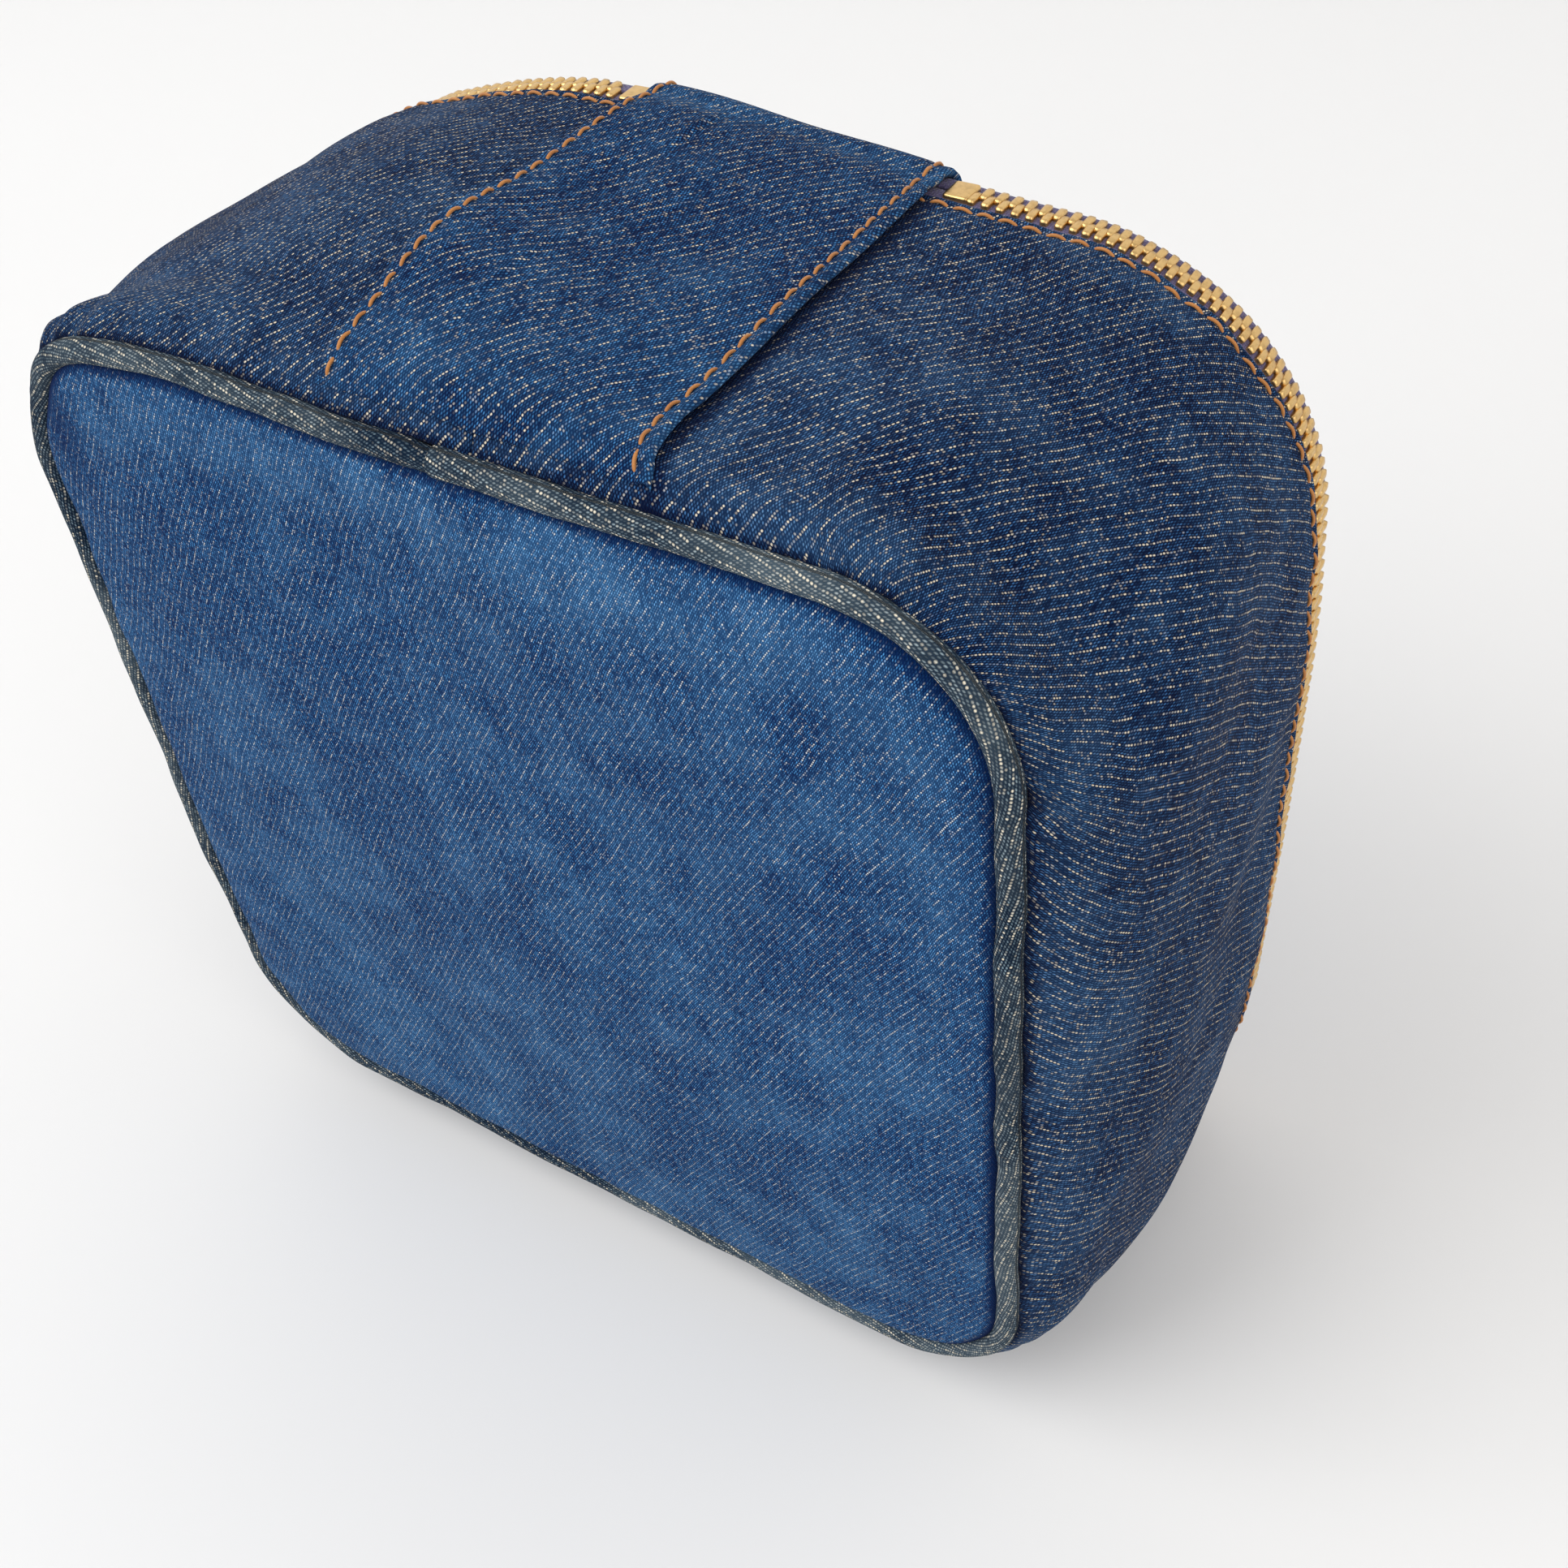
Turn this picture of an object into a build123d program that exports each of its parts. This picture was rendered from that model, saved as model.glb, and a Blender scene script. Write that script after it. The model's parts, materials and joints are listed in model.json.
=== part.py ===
from build123d import *
import os

os.makedirs("parts", exist_ok=True)

# A boxy zip-round brush case of denim, lying on its front wall. While it is being built, x runs
# across the base, y from the base face (y = 0) to the lid, and z up the base, all in millimetres.

# Overall sizes
base_width, base_height, base_corner = 160.0, 160.0, 23.0  # along the middle of the piping
rim_width, rim_height, rim_corner = 184.0, 180.4, 40.0     # outside of the walls at the zip
zip_depth = 76.0                                           # base face to the middle of the zip
# How far the walls have swelled from base size to rim size, against depth
swell = ((0.0, 0.0), (0.08, 0.56), (0.17, 0.92), (0.33, 1.23), (0.58, 1.25), (0.82, 1.12), (1.0, 1.0))
lean = 0.4                                                 # the front wall is pressed flat this far below the rim

# Layers
denim, lining_cloth, foam, binding_cloth = 0.9, 0.5, 2.5, 0.8
gap = 0.15                                                 # between one layer and the next
base_board_thick, lid_board_thick = 2.0, 2.0
piping_dia, piping_cord_dia, piping_fit = 3.0, 1.8, 0.05

# Hinge band
band_width, band_centre = 47.6, 9.0
flap_length = 30.0
hinge_rise = 1.8                                           # hinge line above the rim
hinge_gap = 0.35                                           # between the band's end and the hinge line
facing_start = 55.0

# Zip
tape_thick, tape_reach, tape_tuck = 0.5, 12.0, 6.0
teeth_wide, teeth_thick, teeth_split = 4.4, 2.0, 1.0       # both rows together, and the slot between
tape_shows = 1.9                                           # tape between the teeth and the wall's fold
stop_long, stop_thick, stop_gap = 3.8, 2.4, 0.4
bead_gap = 0.1                                             # between teeth and tape

# Sliders and pulls
slider_long, nose_over, tail_over = 9.0, 3.6, 2.0          # length, and how much wider than the teeth at each end
slider_plate, slider_fit = 0.85, 0.35
flange_wide, tape_slot = 0.6, 1.0
post_long, post_wide, post_from_nose = 2.4, 0.6, 2.0
nose_gap = 1.2                                             # between the two noses
pivot_back = 2.2                                           # pull pivot behind the slider's middle
bar_dia, bar_fit = 1.0, 0.2
bridge_wide, bridge_thick, bridge_long, bridge_round = 1.6, 0.8, 5.2, 1.1
pull_wide, pull_thick, pull_gap = 5.6, 1.0, 0.4              # the gap is under the upper pull, to the lower bridge
window_long, window_wide = 4.2, 2.6
slider_travel = 36.0

# Lid and inside
lid_edge, lid_board_edge, lid_lining_edge = 3.4, 6.0, 5.6  # inset from the rim outline
lid_binding_edge, lid_binding_thick = 4.4, 0.8
binding_wide = 8.0
lining_short = 2.0                                         # lining stops short of the wall's fold
elastic_long, elastic_wide, elastic_thick, elastic_height = 124.0, 25.0, 1.1, 18.0

# Places worked out from the sizes
fold_depth = zip_depth - teeth_wide / 2 - tape_shows
wall_start = 0.6
floor_level = rim_height / 2 + lean
piping_depth = piping_dia / 2 + 0.1
padding_inset = denim + gap
lining_inset = padding_inset + foam + gap
binding_inset = lining_inset + lining_cloth + gap
facing_inset = binding_inset + binding_cloth + gap
tape_inset = denim + gap
chain_inset = tape_inset + tape_thick / 2
stack_depth = denim + gap + base_board_thick + gap         # front of the base lining
lining_depth = stack_depth + lining_cloth + gap
tape_end = fold_depth - tape_reach
band_left, band_right = band_centre - band_width / 2, band_centre + band_width / 2
hinge_z = rim_height / 2 + hinge_rise
lid_tape_depth = zip_depth + teeth_wide / 2 + 0.3
lid_panel_depth = lid_tape_depth + tape_thick + gap
flap_depth = lid_panel_depth + denim + gap
lid_board_depth = lid_tape_depth - gap - lid_board_thick
lid_lining_depth = lid_board_depth - gap - lining_cloth
reach = 400.0                                              # longer than anything that is cut


def across(depth):
    """Plane across the case at this depth, facing the lid."""
    return Plane(origin=(0, depth, 0), x_dir=(1, 0, 0), z_dir=(0, 1, 0))


def block(x0, x1, y0, y1, z0, z1):
    """Box between two corners."""
    return Pos((x0 + x1) / 2, (y0 + y1) / 2, (z0 + z1) / 2) * Box(x1 - x0, y1 - y0, z1 - z0)


def slab(y0, y1):
    """Everything between two depths."""
    return block(-reach, reach, y0, y1, -reach, reach)


def skin(inset):
    """Solid inside the walls' outer surface moved in by inset, flat where the case lies."""
    rings = []
    for depth, share in swell:
        half_x = base_width / 2 + (rim_width - base_width) / 2 * share + piping_dia / 2 * (1 - share)
        half_z = base_height / 2 + (rim_height - base_height) / 2 * share + piping_dia / 2 * (1 - share)
        corner = base_corner + (rim_corner - base_corner) * min(share, 1.0) + piping_dia / 2 * (1 - share)
        ring = RectangleRounded(2 * (half_x - inset), 2 * (half_z - inset), corner - inset)
        rings.append(across(depth * zip_depth) * ring)
    return loft(rings) & block(-reach, reach, 0, zip_depth, inset - floor_level, reach)


def layer(outer, inner, y0, y1):
    """Tube of cloth or foam between two insets from the walls' outer surface."""
    return (skin(outer) - skin(inner)) & slab(y0, y1)


def plate(width, height, corner, y0, y1):
    """Flat panel with rounded corners, parallel to the base."""
    return extrude(across(y0) * RectangleRounded(width, height, corner), y1 - y0)


def rim_plate(inset, y0, y1):
    """Flat panel with the rim's outline moved in by inset."""
    return plate(rim_width - 2 * inset, rim_height - 2 * inset, rim_corner - inset, y0, y1)


def rim_ring(outer, inner, y0, y1):
    """Ring that follows the rim between two insets."""
    return rim_plate(outer, y0, y1) - rim_plate(inner, y0, y1)


def above(x0, x1):
    """Everything above the middle of the case between two places across it."""
    return block(x0, x1, -reach, reach, 0, reach)


def piping(diameter):
    """Round bead that follows the edge of the base."""
    path = (across(piping_depth) * RectangleRounded(base_width, base_height, base_corner)).wire()
    return sweep(Plane(origin=path @ 0, z_dir=path % 0) * Circle(diameter / 2), path)


pieces = {}

# Base
base_in = piping_dia / 2 + gap
pieces["base_panel"] = plate(base_width - 2 * base_in, base_height - 2 * base_in, base_corner - base_in, 0, denim)
board_in = base_in + 1.5
pieces["base_board"] = plate(base_width - 2 * board_in, base_height - 2 * board_in, base_corner - board_in,
                             denim + gap, denim + gap + base_board_thick)
pieces["base_lining"] = plate(base_width - 2 * base_in, base_height - 2 * base_in, base_corner - base_in,
                              stack_depth, stack_depth + lining_cloth)
pieces["piping_cord"] = piping(piping_cord_dia)
pieces["piping_cover"] = piping(piping_dia) - piping(piping_cord_dia + 2 * piping_fit)

# Walls, with one seam in the middle of the front and the other under the hinge band
wall = layer(0, denim, wall_start, fold_depth)
seam = gap / 2
left_of_seams = block(-reach, band_centre - seam, -reach, reach, 0, reach) \
    + block(-reach, -seam, -reach, reach, -reach, 0)
right_of_seams = block(band_centre + seam, reach, -reach, reach, 0, reach) \
    + block(seam, reach, -reach, reach, -reach, 0)
pieces["left_wall"] = wall & left_of_seams
pieces["right_wall"] = wall & right_of_seams
pieces["wall_padding"] = layer(padding_inset, padding_inset + foam, lining_depth, tape_end - 1.0)
pieces["wall_lining"] = layer(lining_inset, lining_inset + lining_cloth, lining_depth, fold_depth - lining_short)
pieces["base_binding"] = layer(binding_inset, binding_inset + binding_cloth, lining_depth,
                               lining_depth + binding_wide)
rim_binding_end = fold_depth - 2 * lining_short
pieces["rim_binding"] = layer(binding_inset, binding_inset + binding_cloth, rim_binding_end - binding_wide,
                              rim_binding_end)

# Hinge band: one strip of cloth from the piping over the rim and down the lid
band_start = piping_depth + piping_dia / 2 + gap
pieces["hinge_band"] = layer(-gap - denim, -gap, band_start, zip_depth - hinge_gap) & above(band_left, band_right)
pieces["hinge_facing"] = layer(facing_inset, facing_inset + lining_cloth, facing_start,
                               lid_lining_depth - 3 * gap) & above(band_left + 2, band_right - 2)
flap_top = rim_height / 2 + gap
flap = block(band_left, band_right, zip_depth + hinge_gap, flap_depth + denim, flap_top - flap_length, flap_top + denim)
pieces["hinge_flap"] = flap - block(-reach, reach, 0, flap_depth, -reach, flap_top)

# Zip tapes and the two rows of teeth. The tape follows the walls up to their fold, then the teeth
tape_gap = above(band_left + tape_tuck, band_right - tape_tuck)
teeth_gap = above(band_left - 2 * stop_gap - stop_long, band_right + 2 * stop_gap + stop_long)
row_half = teeth_wide / 2
tape_in = tape_inset + tape_thick
tape_bend = fold_depth - tape_thick
body_tape = layer(tape_inset, tape_in, tape_end, fold_depth) \
    + ((skin(tape_inset) - rim_plate(tape_in, 0, zip_depth)) & slab(tape_bend, fold_depth)) \
    + rim_ring(tape_inset, tape_in, tape_bend, zip_depth - row_half - bead_gap)
pieces["zip_tape_body"] = body_tape - tape_gap
lid_tape = rim_ring(tape_inset, tape_in, zip_depth + row_half + bead_gap, lid_tape_depth + tape_thick) \
    + rim_ring(tape_inset, tape_inset + tape_reach, lid_tape_depth, lid_tape_depth + tape_thick)
pieces["zip_tape_lid"] = lid_tape - tape_gap
teeth_out, teeth_in = chain_inset - teeth_thick / 2, chain_inset + teeth_thick / 2
pieces["zip_teeth_body"] = rim_ring(teeth_out, teeth_in, zip_depth - row_half, zip_depth - teeth_split / 2) - teeth_gap
pieces["zip_teeth_lid"] = rim_ring(teeth_out, teeth_in, zip_depth + teeth_split / 2, zip_depth + row_half) - teeth_gap
chain_z = rim_height / 2 - chain_inset
for name, side, edge in (("zip_stop_left", -1, band_left), ("zip_stop_right", 1, band_right)):
    stop = Pos(edge + side * (stop_gap + stop_long / 2), zip_depth, chain_z) * Box(stop_long, teeth_wide, stop_thick)
    pieces[name] = fillet(stop.edges().filter_by(Axis.Y), stop_thick * 0.3)

# Lid
pieces["lid_panel"] = rim_plate(lid_edge, lid_panel_depth, lid_panel_depth + denim)
pieces["lid_board"] = rim_plate(lid_board_edge, lid_board_depth, lid_board_depth + lid_board_thick)
pieces["lid_lining"] = rim_plate(lid_lining_edge, lid_lining_depth, lid_lining_depth + lining_cloth)
pieces["lid_binding"] = rim_ring(lid_binding_edge, lid_binding_edge + lid_binding_thick,
                                 lid_lining_depth, lid_tape_depth - gap)
elastic = block(-elastic_long / 2, elastic_long / 2, lid_lining_depth - gap - elastic_thick, lid_lining_depth - gap,
                elastic_height - elastic_wide / 2, elastic_height + elastic_wide / 2)
pieces["brush_elastic"] = fillet(elastic.edges().filter_by(Axis.Z), elastic_thick * 0.4)


# Sliders and pulls, made with x out of the case, y across the chain towards the lid, z towards the nose
pull_long = nose_gap + slider_long + 2 * pivot_back - bridge_long / 2 - pull_gap
plate_in = teeth_thick / 2 + slider_fit
plate_out = plate_in + slider_plate
bar_out = plate_out + bar_fit + bar_dia / 2


def slider_body():
    """Two plates joined by the post between the rows. The lid's side is open."""
    nose, tail, end = (teeth_wide + nose_over) / 2, (teeth_wide + tail_over) / 2, slider_long / 2
    lid_side = row_half + bead_gap
    front = Plane(origin=(0, 0, 0), x_dir=(0, 1, 0), z_dir=(1, 0, 0))
    shield = make_face(Polyline((-nose, end * 0.9), (-nose * 0.7, end), (lid_side, end), (lid_side, -end),
                                (-tail * 0.7, -end), (-tail, -end * 0.8), (-tail, -end * 0.2), (-nose, end * 0.3),
                                close=True))
    solid = extrude(front.offset(-plate_out) * shield, 2 * plate_out)
    inside = block(-plate_in, plate_in, -tail + flange_wide, nose, -end, end)
    slot = block(-tape_slot / 2, tape_slot / 2, -nose, nose, -end, end)
    post_z = end - post_from_nose
    post = block(-plate_in, plate_in, -post_wide / 2, post_wide / 2, post_z - post_long / 2, post_z + post_long / 2)
    return solid - inside - slot + post


def bridge():
    """Arch over the pull's bar, standing on the outer plate."""
    top = bar_out + bar_dia / 2 + bar_fit + bridge_thick
    half = bridge_long / 2
    outer = block(plate_out, top, -bridge_wide / 2, bridge_wide / 2, -half, half)
    outer = fillet(outer.edges().filter_by(Axis.Y).group_by(Axis.X)[-1], bridge_round)
    opening = block(0, top - bridge_thick, -bridge_wide, bridge_wide, bridge_thick - half, half - bridge_thick)
    return outer - opening


def pull():
    """Tongue that hangs down from a round bar, with a window for the bridge."""
    tongue = block(-pull_thick / 2, pull_thick / 2, -pull_wide / 2, pull_wide / 2, -pull_long, 0)
    tongue = fillet(tongue.edges().filter_by(Axis.X).group_by(Axis.Z)[0], pull_wide * 0.3)
    window = block(-pull_thick, pull_thick, -window_wide / 2, window_wide / 2, -window_long, reach)
    bar = Rot(90, 0, 0) * Cylinder(bar_dia / 2, pull_wide)
    return tongue - window + bar


chain_x = rim_width / 2 - chain_inset
pivots = {}
for name, up in (("upper", 1), ("lower", -1)):
    middle = up * (nose_gap + slider_long) / 2
    pivots[name] = Vector(-chain_x - bar_out, zip_depth, middle + up * pivot_back)
    # the noses face each other, and both sliders keep their open side towards the lid
    body = mirror(slider_body(), Plane.XY) if up > 0 else slider_body()
    pieces[f"slider_{name}"] = Pos(-chain_x, zip_depth, middle) * body
    pieces[f"slider_{name}_bridge"] = Pos(-chain_x, zip_depth, pivots[name].Z) * mirror(bridge(), Plane.YZ)
    pieces[f"slider_{name}_pull"] = Pos(pivots[name]) * pull()

# Stand the case on its front wall, with its box centred over the origin
whole = Compound(children=[Compound(piece.solids()) for piece in pieces.values()]).bounding_box(optimal=True)
home = Vector(-(whole.min.X + whole.max.X) / 2, -(whole.min.Y + whole.max.Y) / 2, -whole.min.Z)
for name, piece in pieces.items():
    export_step(Pos(home) * piece, f"parts/{name}.step")

# Where the moving parts turn, in the finished part's frame
print("lid hinge line", *(round(v, 3) for v in Vector(0, zip_depth, hinge_z) + home))
for name, pivot in pivots.items():
    print(name, "pull pivot", *(round(v, 3) for v in pivot + home), "slider travel", slider_travel)
print("box centre moved by", *(round(v, 3) for v in home), "size", *(round(v, 3) for v in whole.size))
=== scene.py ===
"""Looks of a boxy zip-round denim brush case that lies on its front wall, its piped base towards us."""
import bmesh
import json
import math
import bpy
import numpy as np
from mathutils import Matrix, Vector

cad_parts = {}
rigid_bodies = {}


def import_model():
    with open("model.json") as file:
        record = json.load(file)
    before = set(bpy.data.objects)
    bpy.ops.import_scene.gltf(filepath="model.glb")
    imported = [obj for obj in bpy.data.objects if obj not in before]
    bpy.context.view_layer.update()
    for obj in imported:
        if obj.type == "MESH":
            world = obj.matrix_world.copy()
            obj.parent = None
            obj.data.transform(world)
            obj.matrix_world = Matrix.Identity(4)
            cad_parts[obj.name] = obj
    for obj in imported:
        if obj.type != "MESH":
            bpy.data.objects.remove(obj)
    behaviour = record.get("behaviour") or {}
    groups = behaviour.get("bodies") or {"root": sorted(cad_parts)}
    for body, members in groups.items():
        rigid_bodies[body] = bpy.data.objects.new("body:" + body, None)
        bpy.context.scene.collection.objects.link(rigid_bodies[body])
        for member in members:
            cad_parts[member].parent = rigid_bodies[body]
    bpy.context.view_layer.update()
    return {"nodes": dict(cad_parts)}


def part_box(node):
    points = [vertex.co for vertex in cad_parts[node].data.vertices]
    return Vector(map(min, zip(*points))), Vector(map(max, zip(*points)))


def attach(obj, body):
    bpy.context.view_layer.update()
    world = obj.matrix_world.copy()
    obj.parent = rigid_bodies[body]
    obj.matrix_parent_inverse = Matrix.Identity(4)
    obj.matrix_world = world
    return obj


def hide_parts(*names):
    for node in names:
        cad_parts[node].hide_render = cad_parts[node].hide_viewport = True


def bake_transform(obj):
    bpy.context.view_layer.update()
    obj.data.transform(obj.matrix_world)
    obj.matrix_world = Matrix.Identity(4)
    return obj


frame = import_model()
MM = 0.001


# ---------------------------------------------------------------- places, from the frame
def middle(node):
    low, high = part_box(node)
    return (low + high) / 2


def size(node):
    low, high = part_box(node)
    return high - low


BASE_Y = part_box("base_panel")[0].y                      # face of the base
HOME = np.array([middle("base_panel").x, BASE_Y, middle("base_panel").z])
PIPING_R = size("piping_cover").y / 2
PIPING_Y = middle("piping_cover").y - BASE_Y            # depths are counted from the base face
BASE_HALF = size("piping_cover").x / 2 - PIPING_R       # half of the base, to the middle of the piping
BASE_CORNER = 23 * MM
RIM_X = size("zip_teeth_body").x / 2 + 0.3 * MM         # outside of the walls at the zip
RIM_Z = size("zip_teeth_body").z / 2 + 0.3 * MM
RIM_CORNER = 40 * MM
FOLD_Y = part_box("right_wall")[1].y - BASE_Y             # where the walls' cloth is turned under
ZIP_Y = (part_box("zip_teeth_body")[0].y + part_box("zip_teeth_lid")[1].y) / 2 - BASE_Y
CHAIN_IN = 1.3 * MM                                     # middle of the chain, inside the rim
BAND_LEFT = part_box("hinge_band")[0].x - HOME[0]
BAND_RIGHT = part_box("hinge_band")[1].x - HOME[0]
LID_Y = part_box("lid_panel")[1].y - BASE_Y               # outer face of the lid
LID_EDGE = RIM_X - size("lid_panel").x / 2              # the lid panel's edge, inside the rim
FLOOR_Z = -HOME[2]
DENIM = 0.9 * MM


# ---------------------------------------------------------------- shapes in the case's own places
def rounded_rectangle(t, half_x, half_z, corner):
    """Points and outward directions of a rounded rectangle. t runs 0 to 9 clockwise from the top's
    middle: half the top, corner, side, corner, bottom, corner, side, corner, half the top."""
    values = [np.asarray(v, float) for v in (t, half_x, half_z, corner)]
    t, half_x, half_z, corner = np.broadcast_arrays(*values)
    part = np.clip(np.floor(t), 0, 8).astype(int)
    along = t - part
    a, b = half_x - corner, half_z - corner
    # start, end of each straight; centre and start angle of each corner
    angle = np.select([part == 1, part == 3, part == 5, part == 7],
                      [90 - 90 * along, -90 * along, -90 - 90 * along, 180 - 90 * along], 0.0)
    angle = np.select([part == 0, part == 2, part == 4, part == 6, part == 8],
                      [90.0, 0.0, -90.0, 180.0, 90.0], angle)
    nx, nz = np.cos(np.radians(angle)), np.sin(np.radians(angle))
    cx = np.select([part == 0, part <= 3, part == 4, part <= 7], [a * along, a, a - 2 * a * along, -a],
                   -a + a * along)
    cz = np.select([part <= 1, part == 2, part == 3, part == 4, part == 5, part == 6],
                   [b, b - 2 * b * along, -b, -b, -b, -b + 2 * b * along], b)
    return cx + corner * nx, cz + corner * nz, nx, nz


RIM_RUNS = np.array([RIM_X - RIM_CORNER, math.pi / 2 * RIM_CORNER, 2 * (RIM_Z - RIM_CORNER),
                     math.pi / 2 * RIM_CORNER, 2 * (RIM_X - RIM_CORNER), math.pi / 2 * RIM_CORNER,
                     2 * (RIM_Z - RIM_CORNER), math.pi / 2 * RIM_CORNER, RIM_X - RIM_CORNER])
RIM_STARTS = np.concatenate([[0.0], np.cumsum(RIM_RUNS)])
RIM_ROUND = RIM_STARTS[-1]


def turn_at(s):
    """The rounded rectangle's t at a distance s along the rim, clockwise from the top's middle."""
    return np.interp(s, RIM_STARTS, np.arange(10.0))


def around(places):
    """Smooth closed function of t through a few (t, millimetres) places round the case."""
    at, value = zip(*places)
    fine = np.linspace(0, 9, 721)[:-1]
    raw = np.interp(fine, at, value, period=9)
    bell = np.exp(-(np.arange(-24, 25) / 9.0) ** 2)
    soft = np.convolve(np.concatenate([raw[-24:], raw, raw[:24]]), bell / bell.sum(), "valid") * MM
    return lambda t: np.interp(t, fine, soft, period=9)


# The case has slumped: how far its surface lies inside the plain rounded outline, in millimetres
WALL_SET = around([
    (0, 1.2), (0.3, 3.0), (0.65, 4.9), (0.95, 6.0), (1.25, 6.8), (1.6, 5.6), (1.9, 3.4), (2.2, 0.8),
    (2.6, 0.8), (3.0, 1.5), (3.4, 2.4), (4.0, 0.4), (5.0, 0.0), (6.0, 0.0), (6.6, 0.0), (7.04, 0.0),
    (7.2, 3.8), (7.4, 6.8), (7.6, 9.8), (7.8, 9.8), (8.0, 6.4), (8.25, 2.6), (8.5, 0.2), (8.75, 0.3)])
BASE_SET = around([
    (0, 0), (6.3, 0), (7.0, 4.6), (7.25, 5.2), (7.5, 4.9), (7.75, 2.2), (8.0, 0.2), (8.3, -1.4), (8.8, 0)])
SET_FADE = 18 * MM                                      # depth from the base's set to the walls'


def set_in(t, depth):
    share = smooth(depth / SET_FADE)
    return WALL_SET(t) * share + BASE_SET(t) * (1 - share)


def swell(depth):
    """How far the walls have swelled from base size (0) to rim size (1) at this depth."""
    d = np.clip(depth / ZIP_Y, -0.01, 1.2)
    return 1.27 * (1 - np.exp(-d / 0.125)) - 0.27 * d ** 3


def smooth(x):
    x = np.clip(x, 0, 1)
    return x * x * (3 - 2 * x)


def wall_point(s, depth, out, share=None):
    """A point on the walls: s along the rim, at a depth, moved out from the surface. share stands in
    for the swell at that depth where the cloth rolls over near its seams."""
    share = swell(depth) if share is None else share
    lift = PIPING_R * (1 - share)
    half_x = BASE_HALF + (RIM_X - BASE_HALF) * share + lift
    half_z = BASE_HALF + (RIM_Z - BASE_HALF) * share + lift
    corner = BASE_CORNER + (RIM_CORNER - BASE_CORNER) * np.clip(share, 0, 1) + lift
    t = turn_at(s)
    x, z, nx, nz = rounded_rectangle(t, half_x, half_z, corner)
    depth = np.broadcast_to(depth, x.shape)
    out = out - set_in(t, depth)
    return np.stack([x + nx * out, depth, z + nz * out], -1)


def spline(points, count):
    """count evenly spaced points on a smooth line through a few points."""
    p = np.asarray(points, float)
    ends = np.vstack([2 * p[0] - p[1], p, 2 * p[-1] - p[-2]])
    line = []
    for i in range(len(p) - 1):
        a, b, c, d = ends[i:i + 4]
        f = np.linspace(0, 1, 24, endpoint=i == len(p) - 2)[:, None]
        line.append(0.5 * (2 * b + (c - a) * f + (2 * a - 5 * b + 4 * c - d) * f ** 2
                           + (3 * b - a - 3 * c + d) * f ** 3))
    line = np.vstack(line)
    run = run_along(line)
    return along_line(line, run, np.linspace(0, run[-1], count))


def run_along(points):
    """Distance along a line of points, from the first to each."""
    steps = np.linalg.norm(np.diff(points, axis=0), axis=1)
    return np.concatenate([[0.0], np.cumsum(steps)])


def along_line(points, run, at):
    """Points on a line at some distances along it. run is the line's own distances."""
    return np.stack([np.interp(at, run, points[:, k]) for k in range(points.shape[1])], -1)


def together(*parts):
    """Coordinates of different shapes, broadcast and stacked to points."""
    return np.stack(np.broadcast_arrays(*parts), -1)


def rng(seed):
    return np.random.default_rng(seed)


RIPPLE_WAVES = 9


def ripple(x, y, seed, lengths):
    """Soft unevenness, about -1 to 1, made of a few waves with wavelengths between two lengths."""
    r = rng(seed)
    total = np.zeros(np.broadcast(x, y).shape)
    for _ in range(RIPPLE_WAVES):
        length = r.uniform(*lengths)
        angle, phase = r.uniform(0, 2 * math.pi, 2)
        total = total + np.sin(2 * math.pi / length * (x * math.cos(angle) + y * math.sin(angle)) + phase)
    return total / math.sqrt(RIPPLE_WAVES)


# ---------------------------------------------------------------- meshes
def link(name, mesh):
    obj = bpy.data.objects.new(name, mesh)
    bpy.context.scene.collection.objects.link(obj)
    return obj


def new_mesh(name, points, faces, cloth=None):
    """Mesh object from points in the case's own places. cloth is the weave's across, along, and its wear,
    whose values below zero are painted shade.
    """
    mesh = bpy.data.meshes.new(name)
    mesh.from_pydata([tuple(p) for p in np.asarray(points) + HOME], [], [tuple(f) for f in faces])
    mesh.polygons.foreach_set("use_smooth", [True] * len(mesh.polygons))
    if cloth is not None:
        mesh.attributes.new("cloth", "FLOAT_VECTOR", "POINT").data.foreach_set("vector", np.ravel(cloth))
    mesh.validate()
    return link(name, mesh)


def quads(rows, cols, wrap, first=0, flip=False):
    """Faces of a grid of rows x cols points, joined round the rows if wrap."""
    i = np.arange(rows if wrap else rows - 1)[:, None]
    j = np.arange(cols - 1)[None, :]
    n = (i + 1) % rows
    corners = [i * cols + j, i * cols + j + 1, n * cols + j + 1, n * cols + j]
    faces = np.stack(corners, -1).reshape(-1, 4) + first
    return faces[:, ::-1] if flip else faces


def shell(name, outer, inner, cloth, wrap=False, flip=False):
    """Closed piece of cloth between an outer and an inner grid of points. Rows run along the piece."""
    rows, cols = outer.shape[:2]
    first = rows * cols
    faces = [quads(rows, cols, wrap, 0, flip), quads(rows, cols, wrap, first, not flip)]
    i = np.arange(rows if wrap else rows - 1)
    n = (i + 1) % rows
    for j, turned in ((0, flip), (cols - 1, not flip)):
        edge = np.stack([i * cols + j, n * cols + j, first + n * cols + j, first + i * cols + j], -1)
        faces.append(edge[:, ::-1] if turned else edge)
    if not wrap:
        j = np.arange(cols - 1)
        for i, turned in ((0, not flip), (rows - 1, flip)):
            side = i * cols + j
            edge = np.stack([side, side + 1, first + side + 1, first + side], -1)
            faces.append(edge[:, ::-1] if turned else edge)
    points = np.vstack([outer.reshape(-1, 3), inner.reshape(-1, 3)])
    return new_mesh(name, points, np.vstack(faces), np.vstack([cloth.reshape(-1, 3)] * 2))


def normals(grid):
    """Unit directions square to a grid's surface."""
    along = np.gradient(grid, axis=0)
    across = np.gradient(grid, axis=1)
    n = np.cross(across, along)
    return n / np.maximum(np.linalg.norm(n, axis=-1, keepdims=True), 1e-12)


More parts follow.
